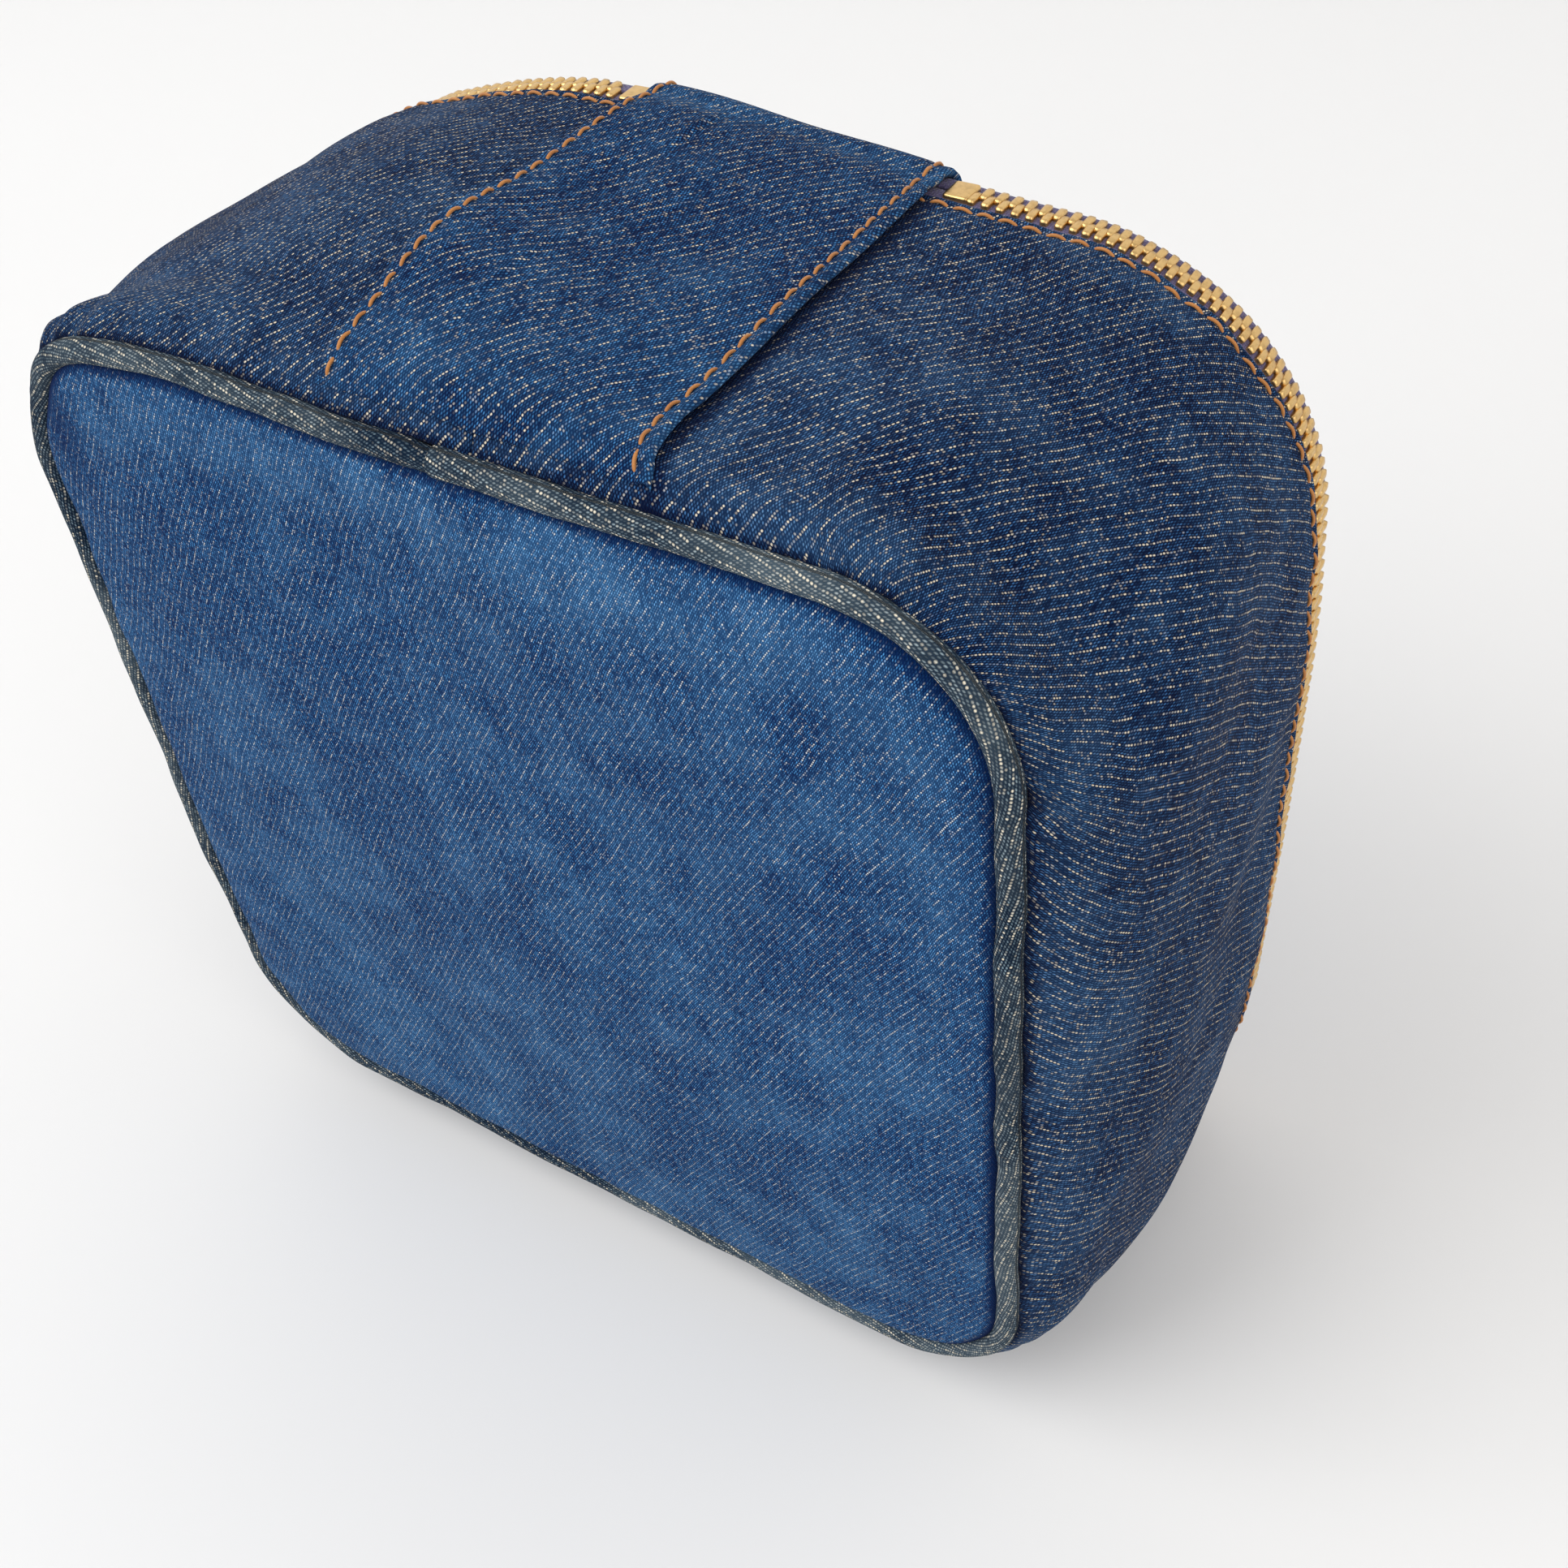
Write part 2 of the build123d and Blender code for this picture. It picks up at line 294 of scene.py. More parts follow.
# ---------------------------------------------------------------- materials
class Nodes:
    """Short way to build a material's nodes."""

    def __init__(self, name):
        self.material = bpy.data.materials.new(name)
        self.material.use_nodes = True
        self.tree = self.material.node_tree
        self.shader = self.tree.nodes["Principled BSDF"]

    def new(self, kind, **settings):
        node = self.tree.nodes.new(kind)
        for key, value in settings.items():
            setattr(node, key, value)
        return node

    def put(self, value, socket):
        if isinstance(value, bpy.types.NodeSocket):
            self.tree.links.new(value, socket)
        else:
            socket.default_value = value

    def math(self, operation, a, b=0.0, clamp=False):
        node = self.new("ShaderNodeMath", operation=operation, use_clamp=clamp)
        self.put(a, node.inputs[0])
        self.put(b, node.inputs[1])
        return node.outputs[0]

    def add(self, a, b, clamp=False):
        return self.math("ADD", a, b, clamp=clamp)

    def sub(self, a, b):
        return self.math("SUBTRACT", a, b)

    def mul(self, a, b, clamp=False):
        return self.math("MULTIPLY", a, b, clamp=clamp)

    def div(self, a, b):
        return self.math("DIVIDE", a, b)

    def step(self, value, low, high):
        """0 below low, 1 above high, smooth between. low may be above high."""
        node = self.new("ShaderNodeMapRange", interpolation_type="SMOOTHSTEP")
        for socket, v in zip(("Value", "From Min", "From Max"), (value, low, high)):
            self.put(v, node.inputs[socket])
        return node.outputs[0]

    def noise(self, vector, scale, detail=2.0, rough=0.5):
        node = self.new("ShaderNodeTexNoise")
        self.put(vector, node.inputs["Vector"])
        node.inputs["Scale"].default_value = scale
        node.inputs["Detail"].default_value = detail
        node.inputs["Roughness"].default_value = rough
        return node.outputs["Fac"]

    def random(self, x, y):
        """A number from 0 to 1 for each whole x and y."""
        node = self.new("ShaderNodeTexWhiteNoise", noise_dimensions="2D")
        self.put(self.vector(x, y, 0.0), node.inputs["Vector"])
        return node.outputs["Value"]

    def vector(self, x, y, z):
        node = self.new("ShaderNodeCombineXYZ")
        for value, socket in zip((x, y, z), node.inputs):
            self.put(value, socket)
        return node.outputs[0]

    def split(self, vector):
        node = self.new("ShaderNodeSeparateXYZ")
        self.put(vector, node.inputs[0])
        return node.outputs

    def mix(self, share, a, b):
        node = self.new("ShaderNodeMix", data_type="RGBA")
        self.put(share, node.inputs["Factor"])
        for value, socket in ((a, node.inputs[6]), (b, node.inputs[7])):
            self.put((*value, 1.0) if isinstance(value, tuple) else value, socket)
        return node.outputs[2]

    def place(self):
        return self.new("ShaderNodeTexCoord").outputs["Object"]

    def attribute(self, name):
        return self.new("ShaderNodeAttribute", attribute_name=name).outputs["Vector"]

    def finish(self, colour, roughness, height=None, depth=0.0002, strength=1.0, **sockets):
        """Sets the surface. height is a bump pattern from 0 to 1, depth its size in metres."""
        self.put((*colour, 1.0) if isinstance(colour, tuple) else colour, self.shader.inputs["Base Color"])
        self.put(roughness, self.shader.inputs["Roughness"])
        for key, value in sockets.items():
            self.shader.inputs[key.replace("_", " ")].default_value = value
        if height is not None:
            bump = self.new("ShaderNodeBump")
            bump.inputs["Distance"].default_value = depth
            bump.inputs["Strength"].default_value = strength
            self.put(height, bump.inputs["Height"])
            self.put(bump.outputs[0], self.shader.inputs["Normal"])
        return self.material


def denim(name, gap, stroke, faded, weft, step=0.38 * MM, row=0.35 * MM, angle=55, repeat=4, fade=0.3,
          bright=0.5, cloud=0.5):
    """Warp-faced twill: rows of yarn floats, each a short stroke along the warp, and every few rows the
    weft's pale dots. gap, stroke, faded and weft are its colours, bright is how much of the weft shows,
    fade and cloud are how worn and how uneven the cloth is."""
    n = Nodes(name)
    across, along, wear_and_shade = n.split(n.attribute("cloth"))
    where = n.place()
    sway = n.sub(n.noise(where, 160.0, 2.0), 0.5)
    wander = n.sub(n.noise(where, 45.0, 1.0), 0.5)
    across = n.add(across, n.mul(sway, 1.0 * MM))
    along = n.add(along, n.mul(wander, 3.0 * MM))
    c, s = math.cos(math.radians(angle)), math.sin(math.radians(angle))
    u = n.add(n.mul(across, c / step), n.mul(along, s / step))
    v = n.add(n.mul(across, -s / row), n.mul(along, c / row))
    at_row = n.math("FLOOR", v)
    u = n.add(u, n.mul(at_row, 0.31))
    at = n.math("FLOOR", u)
    a = n.sub(n.math("FRACT", u), 0.5)
    b = n.sub(n.math("FRACT", v), 0.5)
    chance = n.random(at, at_row)
    a = n.add(a, n.mul(n.sub(chance, 0.5), 0.25))
    long = n.add(n.mul(a, s), n.mul(b, c))
    wide = n.sub(n.mul(a, c), n.mul(b, s))
    away = n.math("SQRT", n.add(n.math("POWER", n.math("ABSOLUTE", n.div(long, 0.66)), 2.0),
                                n.math("POWER", n.math("ABSOLUTE", n.div(wide, 0.36)), 2.0)))
    body = n.step(away, 1.05, 0.25)
    # the rows where the weft shows, in runs
    in_repeat = n.math("FRACT", n.div(n.add(at_row, 0.5), float(repeat)))
    is_weft = n.math("LESS_THAN", in_repeat, 1.0 / repeat)
    runs = n.noise(n.vector(n.mul(u, 0.3), n.mul(at_row, 0.9), 0.0), 1.0, 3.0, 0.65)
    showing = n.add(0.3, n.step(runs, 0.62 - 0.24 * bright, 0.86 - 0.24 * bright))
    showing = n.mul(showing, n.mul(n.math("POWER", chance, 1.9), 1.6 * bright))
    showing = n.mul(showing, is_weft)
    bead = n.math("SQRT", n.add(n.mul(a, a), n.mul(b, b)))
    # a few stray pale picks
    stray = n.step(n.random(n.add(at, 31.0), at_row), 0.90, 1.0)
    showing = n.add(showing, n.mul(stray, 0.45 * bright), clamp=True)
    # how worn the cloth is here; painted shade, given as values below zero in the cloth attribute, makes it
    # less faded
    clouds = n.noise(where, 34.0, 3.0, 0.55)
    blotch = n.noise(where, 130.0, 3.0, 0.6)
    worn = n.add(n.mul(n.step(clouds, 0.36, 0.7), fade), wear_and_shade)
    worn = n.add(worn, n.mul(n.sub(blotch, 0.5), cloud), clamp=True)
    streak = n.noise(n.vector(n.div(across, 0.8 * MM), n.div(along, 9 * MM), 0.0), 1.0, 2.0, 0.7)
    tone = n.math("POWER", n.random(at, n.add(at_row, 57.0)), 1.7)
    tone = n.add(n.mul(tone, 0.85), n.mul(n.step(streak, 0.3, 0.7), 0.3))
    lit = n.mul(body, tone, clamp=True)
    colour = n.mix(lit, n.mix(n.mul(worn, 0.3), gap, stroke), n.mix(worn, stroke, faded))
    dot = n.mul(n.step(bead, 0.48, 0.2), showing, clamp=True)
    colour = n.mix(dot, colour, weft)
    # painted shade: where the cloth attribute's third value is below zero, the cloth is darkened towards the
    # gap colour
    colour = n.mix(n.mul(wear_and_shade, -1.5, clamp=True), colour, gap)
    height = n.mul(body, n.add(0.7, n.mul(chance, 0.3)))
    return n.finish(colour, 0.9, height, 0.16 * MM, 0.9, Sheen_Weight=0.02, Sheen_Roughness=0.4,
                    Specular_IOR_Level=0.06)


def plain_weave(name, colour, other, yarn=0.35 * MM, contrast=0.5):
    """Plain-woven cotton or tape."""
    n = Nodes(name)
    across, along, _ = n.split(n.attribute("cloth"))
    x, y = n.div(across, yarn), n.div(along, yarn)
    over = n.math("MODULO", n.add(n.math("FLOOR", x), n.math("FLOOR", y)), 2.0)
    over = n.math("ABSOLUTE", over)
    sx = n.math("SINE", n.mul(n.math("FRACT", x), math.pi))
    sy = n.math("SINE", n.mul(n.math("FRACT", y), math.pi))
    up = n.mul(over, sx)
    down = n.mul(n.sub(1.0, over), sy)
    height = n.add(up, down)
    tone = n.noise(n.place(), 180.0, 3.0)
    share = n.add(n.mul(height, contrast), n.mul(n.sub(tone, 0.5), 0.8), clamp=True)
    return n.finish(n.mix(share, other, colour), 0.85, height, 0.1 * MM, 0.8, Sheen_Weight=0.2,
                    Specular_IOR_Level=0.25)


def thread(name, colour, dark):
    """Twisted topstitch thread. cloth runs round and along the thread."""
    n = Nodes(name)
    around, along, _ = n.split(n.attribute("cloth"))
    ply = n.math("FRACT", n.add(n.mul(along, 1.0 / (0.9 * MM)), around))
    ridge = n.math("SINE", n.mul(ply, math.pi))
    tone = n.noise(n.place(), 700.0, 2.0)
    share = n.add(n.mul(ridge, 0.6), n.mul(tone, 0.4), clamp=True)
    return n.finish(n.mix(share, dark, colour), 0.55, ridge, 0.08 * MM, 0.8, Sheen_Weight=0.2)


def brass(name):
    """Polished brass with a little tarnish in its hollows."""
    n = Nodes(name)
    where = n.place()
    tarnish = n.step(n.noise(where, 900.0, 3.0, 0.6), 0.42, 0.75)
    scuff = n.noise(where, 2600.0, 2.0)
    n.shader.inputs["Metallic"].default_value = 1.0
    colour = n.mix(n.mul(tarnish, 0.5), (0.72, 0.48, 0.2), (0.42, 0.25, 0.09))
    return n.finish(colour, n.add(0.24, n.mul(scuff, 0.16)), scuff, 0.02 * MM, 0.4)


def ribbed(name, colour, other):
    """Woven elastic, ribbed across its length."""
    n = Nodes(name)
    across, along, _ = n.split(n.attribute("cloth"))
    rib_at = n.math("SINE", n.mul(n.math("FRACT", n.div(across, 1.1 * MM)), math.pi))
    knit = n.math("SINE", n.mul(n.math("FRACT", n.div(along, 0.5 * MM)), math.pi))
    height = n.add(n.mul(rib_at, 0.7), n.mul(knit, 0.3))
    return n.finish(n.mix(height, other, colour), 0.75, height, 0.2 * MM, 0.9, Sheen_Weight=0.2)


def floor_paint():
    n = Nodes("floor_paint")
    tone = n.noise(n.place(), 3.0, 2.0)
    return n.finish(n.mix(tone, (0.80, 0.80, 0.80), (0.83, 0.83, 0.83)), 0.5, Specular_IOR_Level=0.2)


CREAM = (0.80, 0.71, 0.54)
DENIM_WALLS = denim("denim_walls", gap=(0.0006, 0.004, 0.026), stroke=(0.042, 0.15, 0.37),
                    faded=(0.16, 0.33, 0.56), weft=CREAM, step=0.52 * MM, row=0.37 * MM, fade=0.38,
                    bright=1.0, cloud=1.2)
DENIM_BASE = denim("denim_base", gap=(0.0008, 0.014, 0.075), stroke=(0.075, 0.31, 0.68),
                   faded=(0.23, 0.51, 0.86), weft=(0.78, 0.80, 0.78), step=0.40 * MM, row=0.29 * MM,
                   fade=0.32, bright=0.85, cloud=1.1)
DENIM_BAND = denim("denim_band", gap=(0.0006, 0.006, 0.040), stroke=(0.042, 0.20, 0.48),
                   faded=(0.15, 0.38, 0.68), weft=CREAM, step=0.50 * MM, row=0.37 * MM, fade=0.34,
                   bright=0.9, cloud=1.1)
DENIM_PIPING = denim("denim_piping", gap=(0.003, 0.012, 0.03), stroke=(0.20, 0.29, 0.35),
                     faded=(0.48, 0.50, 0.47), weft=(0.82, 0.75, 0.60), step=0.52 * MM, row=0.38 * MM,
                     angle=62, repeat=3, fade=0.75, bright=1.0, cloud=0.8)
LINING = plain_weave("cotton_lining", (0.60, 0.56, 0.48), (0.42, 0.38, 0.31))
BINDING = plain_weave("binding_tape", (0.045, 0.055, 0.11), (0.012, 0.015, 0.035), 0.4 * MM)
ZIP_TAPE = plain_weave("zip_tape", (0.20, 0.17, 0.34), (0.08, 0.068, 0.15), 0.45 * MM)
THREAD = thread("orange_thread", (0.80, 0.37, 0.08), (0.36, 0.12, 0.02))
BRASS = brass("brass")
FOAM = plain_weave("foam", (0.78, 0.77, 0.72), (0.66, 0.65, 0.6), 0.9 * MM, contrast=0.2)
BOARD = plain_weave("grey_board", (0.45, 0.43, 0.38), (0.36, 0.34, 0.3), 1.3 * MM, contrast=0.15)
ELASTIC = ribbed("elastic", (0.05, 0.05, 0.06), (0.012, 0.012, 0.015))


def dress(obj, material):
    obj.data.materials.clear()
    obj.data.materials.append(material)
    return obj


def belong(piece, material, body, slot, *stands_for):
    """Gives a piece its material and its body, and hides the CAD nodes that it stands for. slot is not used.
    """
    dress(piece, material)
    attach(piece, body)
    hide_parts(*stands_for)
    return piece


# ---------------------------------------------------------------- walls
BOTTOM_S = (RIM_STARTS[4] + RIM_STARTS[5]) / 2          # the front seam, in the middle of the front
BAND_MID = (BAND_LEFT + BAND_RIGHT) / 2
HEM_R = DENIM                                           # the turned edge is two layers thick
HEM_WIDE = 8 * MM
HEM_TURN = np.radians([0, 22, 44, 64, 80])              # places round the fold
HEM_STEPS = len(HEM_TURN)
STITCH_IN = 1.9 * MM                                    # topstitching, from the fold
REACH = RIM_X - BASE_HALF                               # how far a full swell moves a side wall


def wall_columns():
    """Depth, swell and offset of the walls' outer surface, from behind the piping to the fold."""
    crease = [(3.9, -0.13), (3.2, -0.10), (2.45, -0.03), (2.2, 0.07), (2.6, 0.18), (3.5, 0.32)]
    crease = [(d * MM, share * REACH) for d, share in crease]
    places = (5.0, 7.5, 11.0, 16.0, 23.0, 32.0, 43.0, 54.0, 63.0, 67.5)
    main = [(d * MM, float(swell(d * MM)) * REACH) for d in places]
    line = spline(crease + main, 74)
    depth, share = line[:, 0], line[:, 1] / REACH
    hem = np.arange(68.0 * MM, FOLD_Y - HEM_R, 0.34 * MM)
    round_depth = FOLD_Y - HEM_R + HEM_R * np.sin(HEM_TURN)
    depth = np.concatenate([depth, hem, round_depth])
    share = np.concatenate([share, swell(hem), swell(np.full(HEM_STEPS, FOLD_Y - HEM_R))])
    roll = np.concatenate([np.zeros(len(depth) - HEM_STEPS), HEM_R * np.cos(HEM_TURN) - HEM_R])
    return depth, share, roll


def stitch_dip(away, wide=0.55 * MM):
    """Dip of cloth that is pulled down along a line of stitches, 0 to 1, by distance from it."""
    return np.exp(-(away / wide) ** 2)


def wall_bumps(s, depth):
    """Soft unevenness of the padded walls, in metres, outwards. It jumps only at the front seam."""
    s = (s + RIM_ROUND / 2) % RIM_ROUND - RIM_ROUND / 2
    seam = np.exp(-np.clip(depth - 3 * MM, 0, None) / (8 * MM))
    rim = np.exp(-np.clip(FOLD_Y - depth, 0, None) / (6 * MM))
    corner = smooth((np.abs(np.sin(np.pi * (turn_at(s % RIM_ROUND) - 0.5) / 2)) - 0.2) / 0.6)
    pucker = ripple(s, depth * 0.3, 5, (6 * MM, 13 * MM)) * 0.28 * MM * (0.5 + corner) * seam
    gather = ripple(s, depth * 0.25, 8, (5 * MM, 10 * MM)) * 0.16 * MM * rim
    body = ripple(s, depth, 11, (38 * MM, 80 * MM)) * 0.8 * MM * (1 - seam) * (1 - rim)
    fine = ripple(s, depth, 13, (9 * MM, 22 * MM)) * 0.12 * MM
    return pucker + gather + body + fine


def hold_off_floor(grid, clearance=0.0):
    """Cloth that would sink into the floor lies on it."""
    low = FLOOR_Z + clearance
    z = grid[..., 2]
    soft = 0.8 * MM
    grid[..., 2] = np.where(z < low + 2 * soft, low + soft * np.logaddexp(0, (z - low) / soft - 0.5) * 0.9, z)
    grid[..., 2] = np.maximum(grid[..., 2], low)
    return grid


def wall(name, start, end):
    count = int(abs(end - start) / (1.35 * MM))
    s = np.linspace(start, end, count)[:, None]
    depth, share, roll = wall_columns()
    depth, share, roll = depth[None, :], share[None, :], roll[None, :]
    edge = FOLD_Y - depth
    shape = wall_bumps(s, depth) - 0.22 * MM * stitch_dip(edge - STITCH_IN)
    shape = shape + 0.1 * MM * stitch_dip(edge - 0.8 * MM)
    shape = shape * smooth(edge / (1.5 * MM) + 0.4)
    outer = wall_point(s % RIM_ROUND, depth, shape + roll, share)
    thick = DENIM + DENIM * smooth((depth - FOLD_Y + HEM_WIDE) / (1.5 * MM))
    inward = normals(outer)
    inner = outer + inward * thick[..., None]
    fold = np.s_[:, -HEM_STEPS:]
    inner[fold] = wall_point(s % RIM_ROUND, depth[fold], shape[fold] - 2 * HEM_R - roll[fold], share[fold])
    outer, inner = hold_off_floor(outer), hold_off_floor(inner, DENIM)
    wear_and_shade = 0.5 * np.exp(-np.clip(edge, 0, None) / (0.7 * MM))
    wear_and_shade = wear_and_shade + 0.22 * np.exp(-((depth - 6 * MM) / (5 * MM)) ** 2)
    first = run_along(outer[0])[None, :]
    # painted shade in the crease behind the piping: the wall darkens within about 4 mm of where its cloth
    # starts
    wear_and_shade = wear_and_shade - 0.75 * smooth(1 - (first - 1.6 * MM) / (2.6 * MM))
    # painted shadow in the gap beside the band's edge
    wear_and_shade = wear_and_shade - 0.7 * np.exp(-((s - BAND_RIGHT) / (1.1 * MM)) ** 2)
    cloth = together(s, first, wear_and_shade)
    piece = belong(shell(name, outer, inner, cloth), DENIM_WALLS, "case", "denim", name)


wall("right_wall", BAND_MID + 0.1 * MM, BOTTOM_S - 0.1 * MM)
wall("left_wall", BOTTOM_S + 0.1 * MM, RIM_ROUND + BAND_MID - 0.1 * MM)


# ---------------------------------------------------------------- base panel and piping
def inset_ring(t, inset):
    """Rounded outline of the base moved in by inset."""
    corner = np.maximum(BASE_CORNER - inset * 0.62, 1.5 * MM)
    half = np.maximum(BASE_HALF - inset, corner)
    x, z, nx, nz = rounded_rectangle(t, half, half, corner)
    moved = BASE_SET(t) * (1 - inset / BASE_HALF) ** 3
    return x - nx * moved, z - nz * moved


def base_puff(x, z, inset):
    """Depth of the base panel's outer face: it dives beside the piping and swells a little between."""
    rise = 1.9 * MM * np.exp(-(inset - 1.1 * MM) / (1.1 * MM)) - 1.3 * MM * (1 - np.exp(-inset / (9 * MM)))
    calm = smooth(inset / (12 * MM))
    body = ripple(x, z, 21, (45 * MM, 95 * MM)) * 0.75 * MM * calm
    edge = ripple(x, z, 23, (10 * MM, 20 * MM)) * 0.16 * MM * (1 - calm) * smooth(inset / (3 * MM))
    fine = ripple(x, z, 24, (10 * MM, 26 * MM)) * 0.10 * MM
    return rise + body + edge + fine


def base_panel():
    t = np.linspace(0, 9, 420, endpoint=False)[:, None]
    near = np.array([1.1, 1.3, 1.6, 2.0, 2.5, 3.1, 3.8, 4.6, 5.6, 6.8]) * MM
    inset = np.concatenate([near, np.linspace(8.2 * MM, BASE_HALF - 1.6 * MM, 58)])[None, :]
    x, z = inset_ring(t, inset)
    outer = np.stack([x, base_puff(x, z, inset), z], -1)
    inner = outer + np.array([0, DENIM, 0])
    tilt = math.radians(4)
    across, along = x * math.cos(tilt) + z * math.sin(tilt), z * math.cos(tilt) - x * math.sin(tilt)
    pale = 0.30 * np.exp(-((inset - 8 * MM) / (6 * MM)) ** 2) * smooth((z + x * 0.3 - 20 * MM) / (50 * MM))
    # paler towards the lower left
    pale = pale + 0.12 * smooth(-(x + z) / (90 * MM))
    # painted shade in the crease beside the piping
    dark = 0.7 * smooth(1 - (inset - 1.7 * MM) / (1.5 * MM))
    # painted shade of a crease near the upper left corner
    corner_crease_shade = 0.5 * np.exp(-(((x + 66 * MM) / (4 * MM)) ** 2 + ((z - 66 * MM) / (9 * MM)) ** 2))
    cloth = np.stack([across, along, pale - dark - corner_crease_shade], -1)
    piece = shell("base_panel", outer, inner, cloth, wrap=True)
    close_middles(piece)
    belong(piece, DENIM_BASE, "case", "denim", "base_panel")


def close_middles(piece):
    """Fills the small holes left in the middle of a panel made of rings."""
    mesh = bmesh.new()
    mesh.from_mesh(piece.data)
    # shell() joins the two middles by a narrow wall: it goes, and each middle is closed by itself
    middle_point = Vector((HOME[0], 0, HOME[2]))
    inside = []
    for face in mesh.faces:
        away = max((Vector((v.co.x, 0, v.co.z)) - middle_point).length for v in face.verts)
        if away < 7 * MM and abs(face.normal.y) < 0.5:
            inside.append(face)
    bmesh.ops.delete(mesh, geom=inside, context="FACES_ONLY")
    edges = [e for e in mesh.edges if e.is_boundary]
    bmesh.ops.holes_fill(mesh, edges=edges, sides=0)
    bmesh.ops.triangulate(mesh, faces=[f for f in mesh.faces if len(f.verts) > 4])
    bmesh.ops.recalc_face_normals(mesh, faces=mesh.faces)
    for face in mesh.faces:
        face.smooth = True
    mesh.to_mesh(piece.data)
    mesh.free()


base_panel()

JOIN_X = 4 * MM                                         # where the piping's ends overlap, on the top edge


def tube(name, path, radius, cloth_of, sides):
    """Round bar of varying radius along a path of points, with flat ends."""
    ahead = np.gradient(path, axis=0)
    ahead /= np.linalg.norm(ahead, axis=1, keepdims=True)
    side = np.cross(ahead, np.array([0.0, 1.0, 0.0]))
    side /= np.linalg.norm(side, axis=1, keepdims=True)
    up = np.cross(side, ahead)
    angle = np.linspace(0, 2 * math.pi, sides, endpoint=False)
    radius = np.broadcast_to(np.asarray(radius, float), (len(path),))[:, None, None]
    grid = path[:, None, :] + radius * (np.cos(angle)[None, :, None] * side[:, None, :]
                                        + np.sin(angle)[None, :, None] * up[:, None, :])
    rows = len(path)
    i, j = np.arange(rows - 1)[:, None], np.arange(sides)[None, :]
    faces = np.stack([i * sides + j, i * sides + (j + 1) % sides, (i + 1) * sides + (j + 1) % sides,
                      (i + 1) * sides + j], -1).reshape(-1, 4).tolist()
    faces += [list(range(sides)), [(rows - 1) * sides + k for k in range(sides)][::-1]]
    run = run_along(path)
    cloth = cloth_of(run[:, None], angle[None, :] / (2 * math.pi))
    return new_mesh(name, grid.reshape(-1, 3), faces, cloth)


def piping():
    start = np.interp(JOIN_X, [0, RIM_X - RIM_CORNER], [0, 1])
    t = start + np.linspace(0, 9, 900)
    x, z, nx, nz = rounded_rectangle(t % 9, BASE_HALF, BASE_HALF, BASE_CORNER)
    x, z = x - nx * BASE_SET(t), z - nz * BASE_SET(t)
    path = np.stack([x, np.full_like(x, PIPING_Y), z], -1)
    run = run_along(path)
    wave = ripple(run, 0 * run, 31, (9 * MM, 30 * MM))
    path = path + np.stack([nx, 0 * nx, nz], -1) * (0.18 * MM * wave)[:, None]
    path[:, 1] += 0.15 * MM * ripple(run, 0 * run, 32, (14 * MM, 40 * MM))
    # the first end is folded under and laid over the last
    lap = np.exp(-run / (9 * MM)) * smooth(run / (0.8 * MM) + 0.55)
    radius = 1.2 * PIPING_R * (1.0 + 0.035 * ripple(run, 0 * run, 33, (8 * MM, 22 * MM)) + 0.13 * lap)
    radius[run > run[-1] - 3 * MM] *= 0.93
    path[run > run[-1] - 3 * MM] += np.array([0, 0, -0.1 * MM])
    turn = math.radians(-17)                            # the strip is cut on the slant

    def weave(along, around):
        round_by = around * 2 * math.pi * PIPING_R
        across = round_by * math.cos(turn) + along * math.sin(turn)
        length = along * math.cos(turn) - round_by * math.sin(turn)
        corner = ripple(along, 0 * along, 35, (60 * MM, 160 * MM))
        # the seam of the weave is hidden behind, between the base and the walls
        return np.stack(np.broadcast_arrays(-across, length, 0.12 + 0.22 * corner), -1).reshape(-1, 3)

    cord = tube("piping_cord", path[4:-4], 0.6 * PIPING_R, weave, 12)
    belong(cord, FOAM, "case", "cord", "piping_cord")
    cover = tube("piping_cover", path, radius, weave, 28)
    belong(cover, DENIM_PIPING, "case", "piping_denim", "piping_cover")


piping()


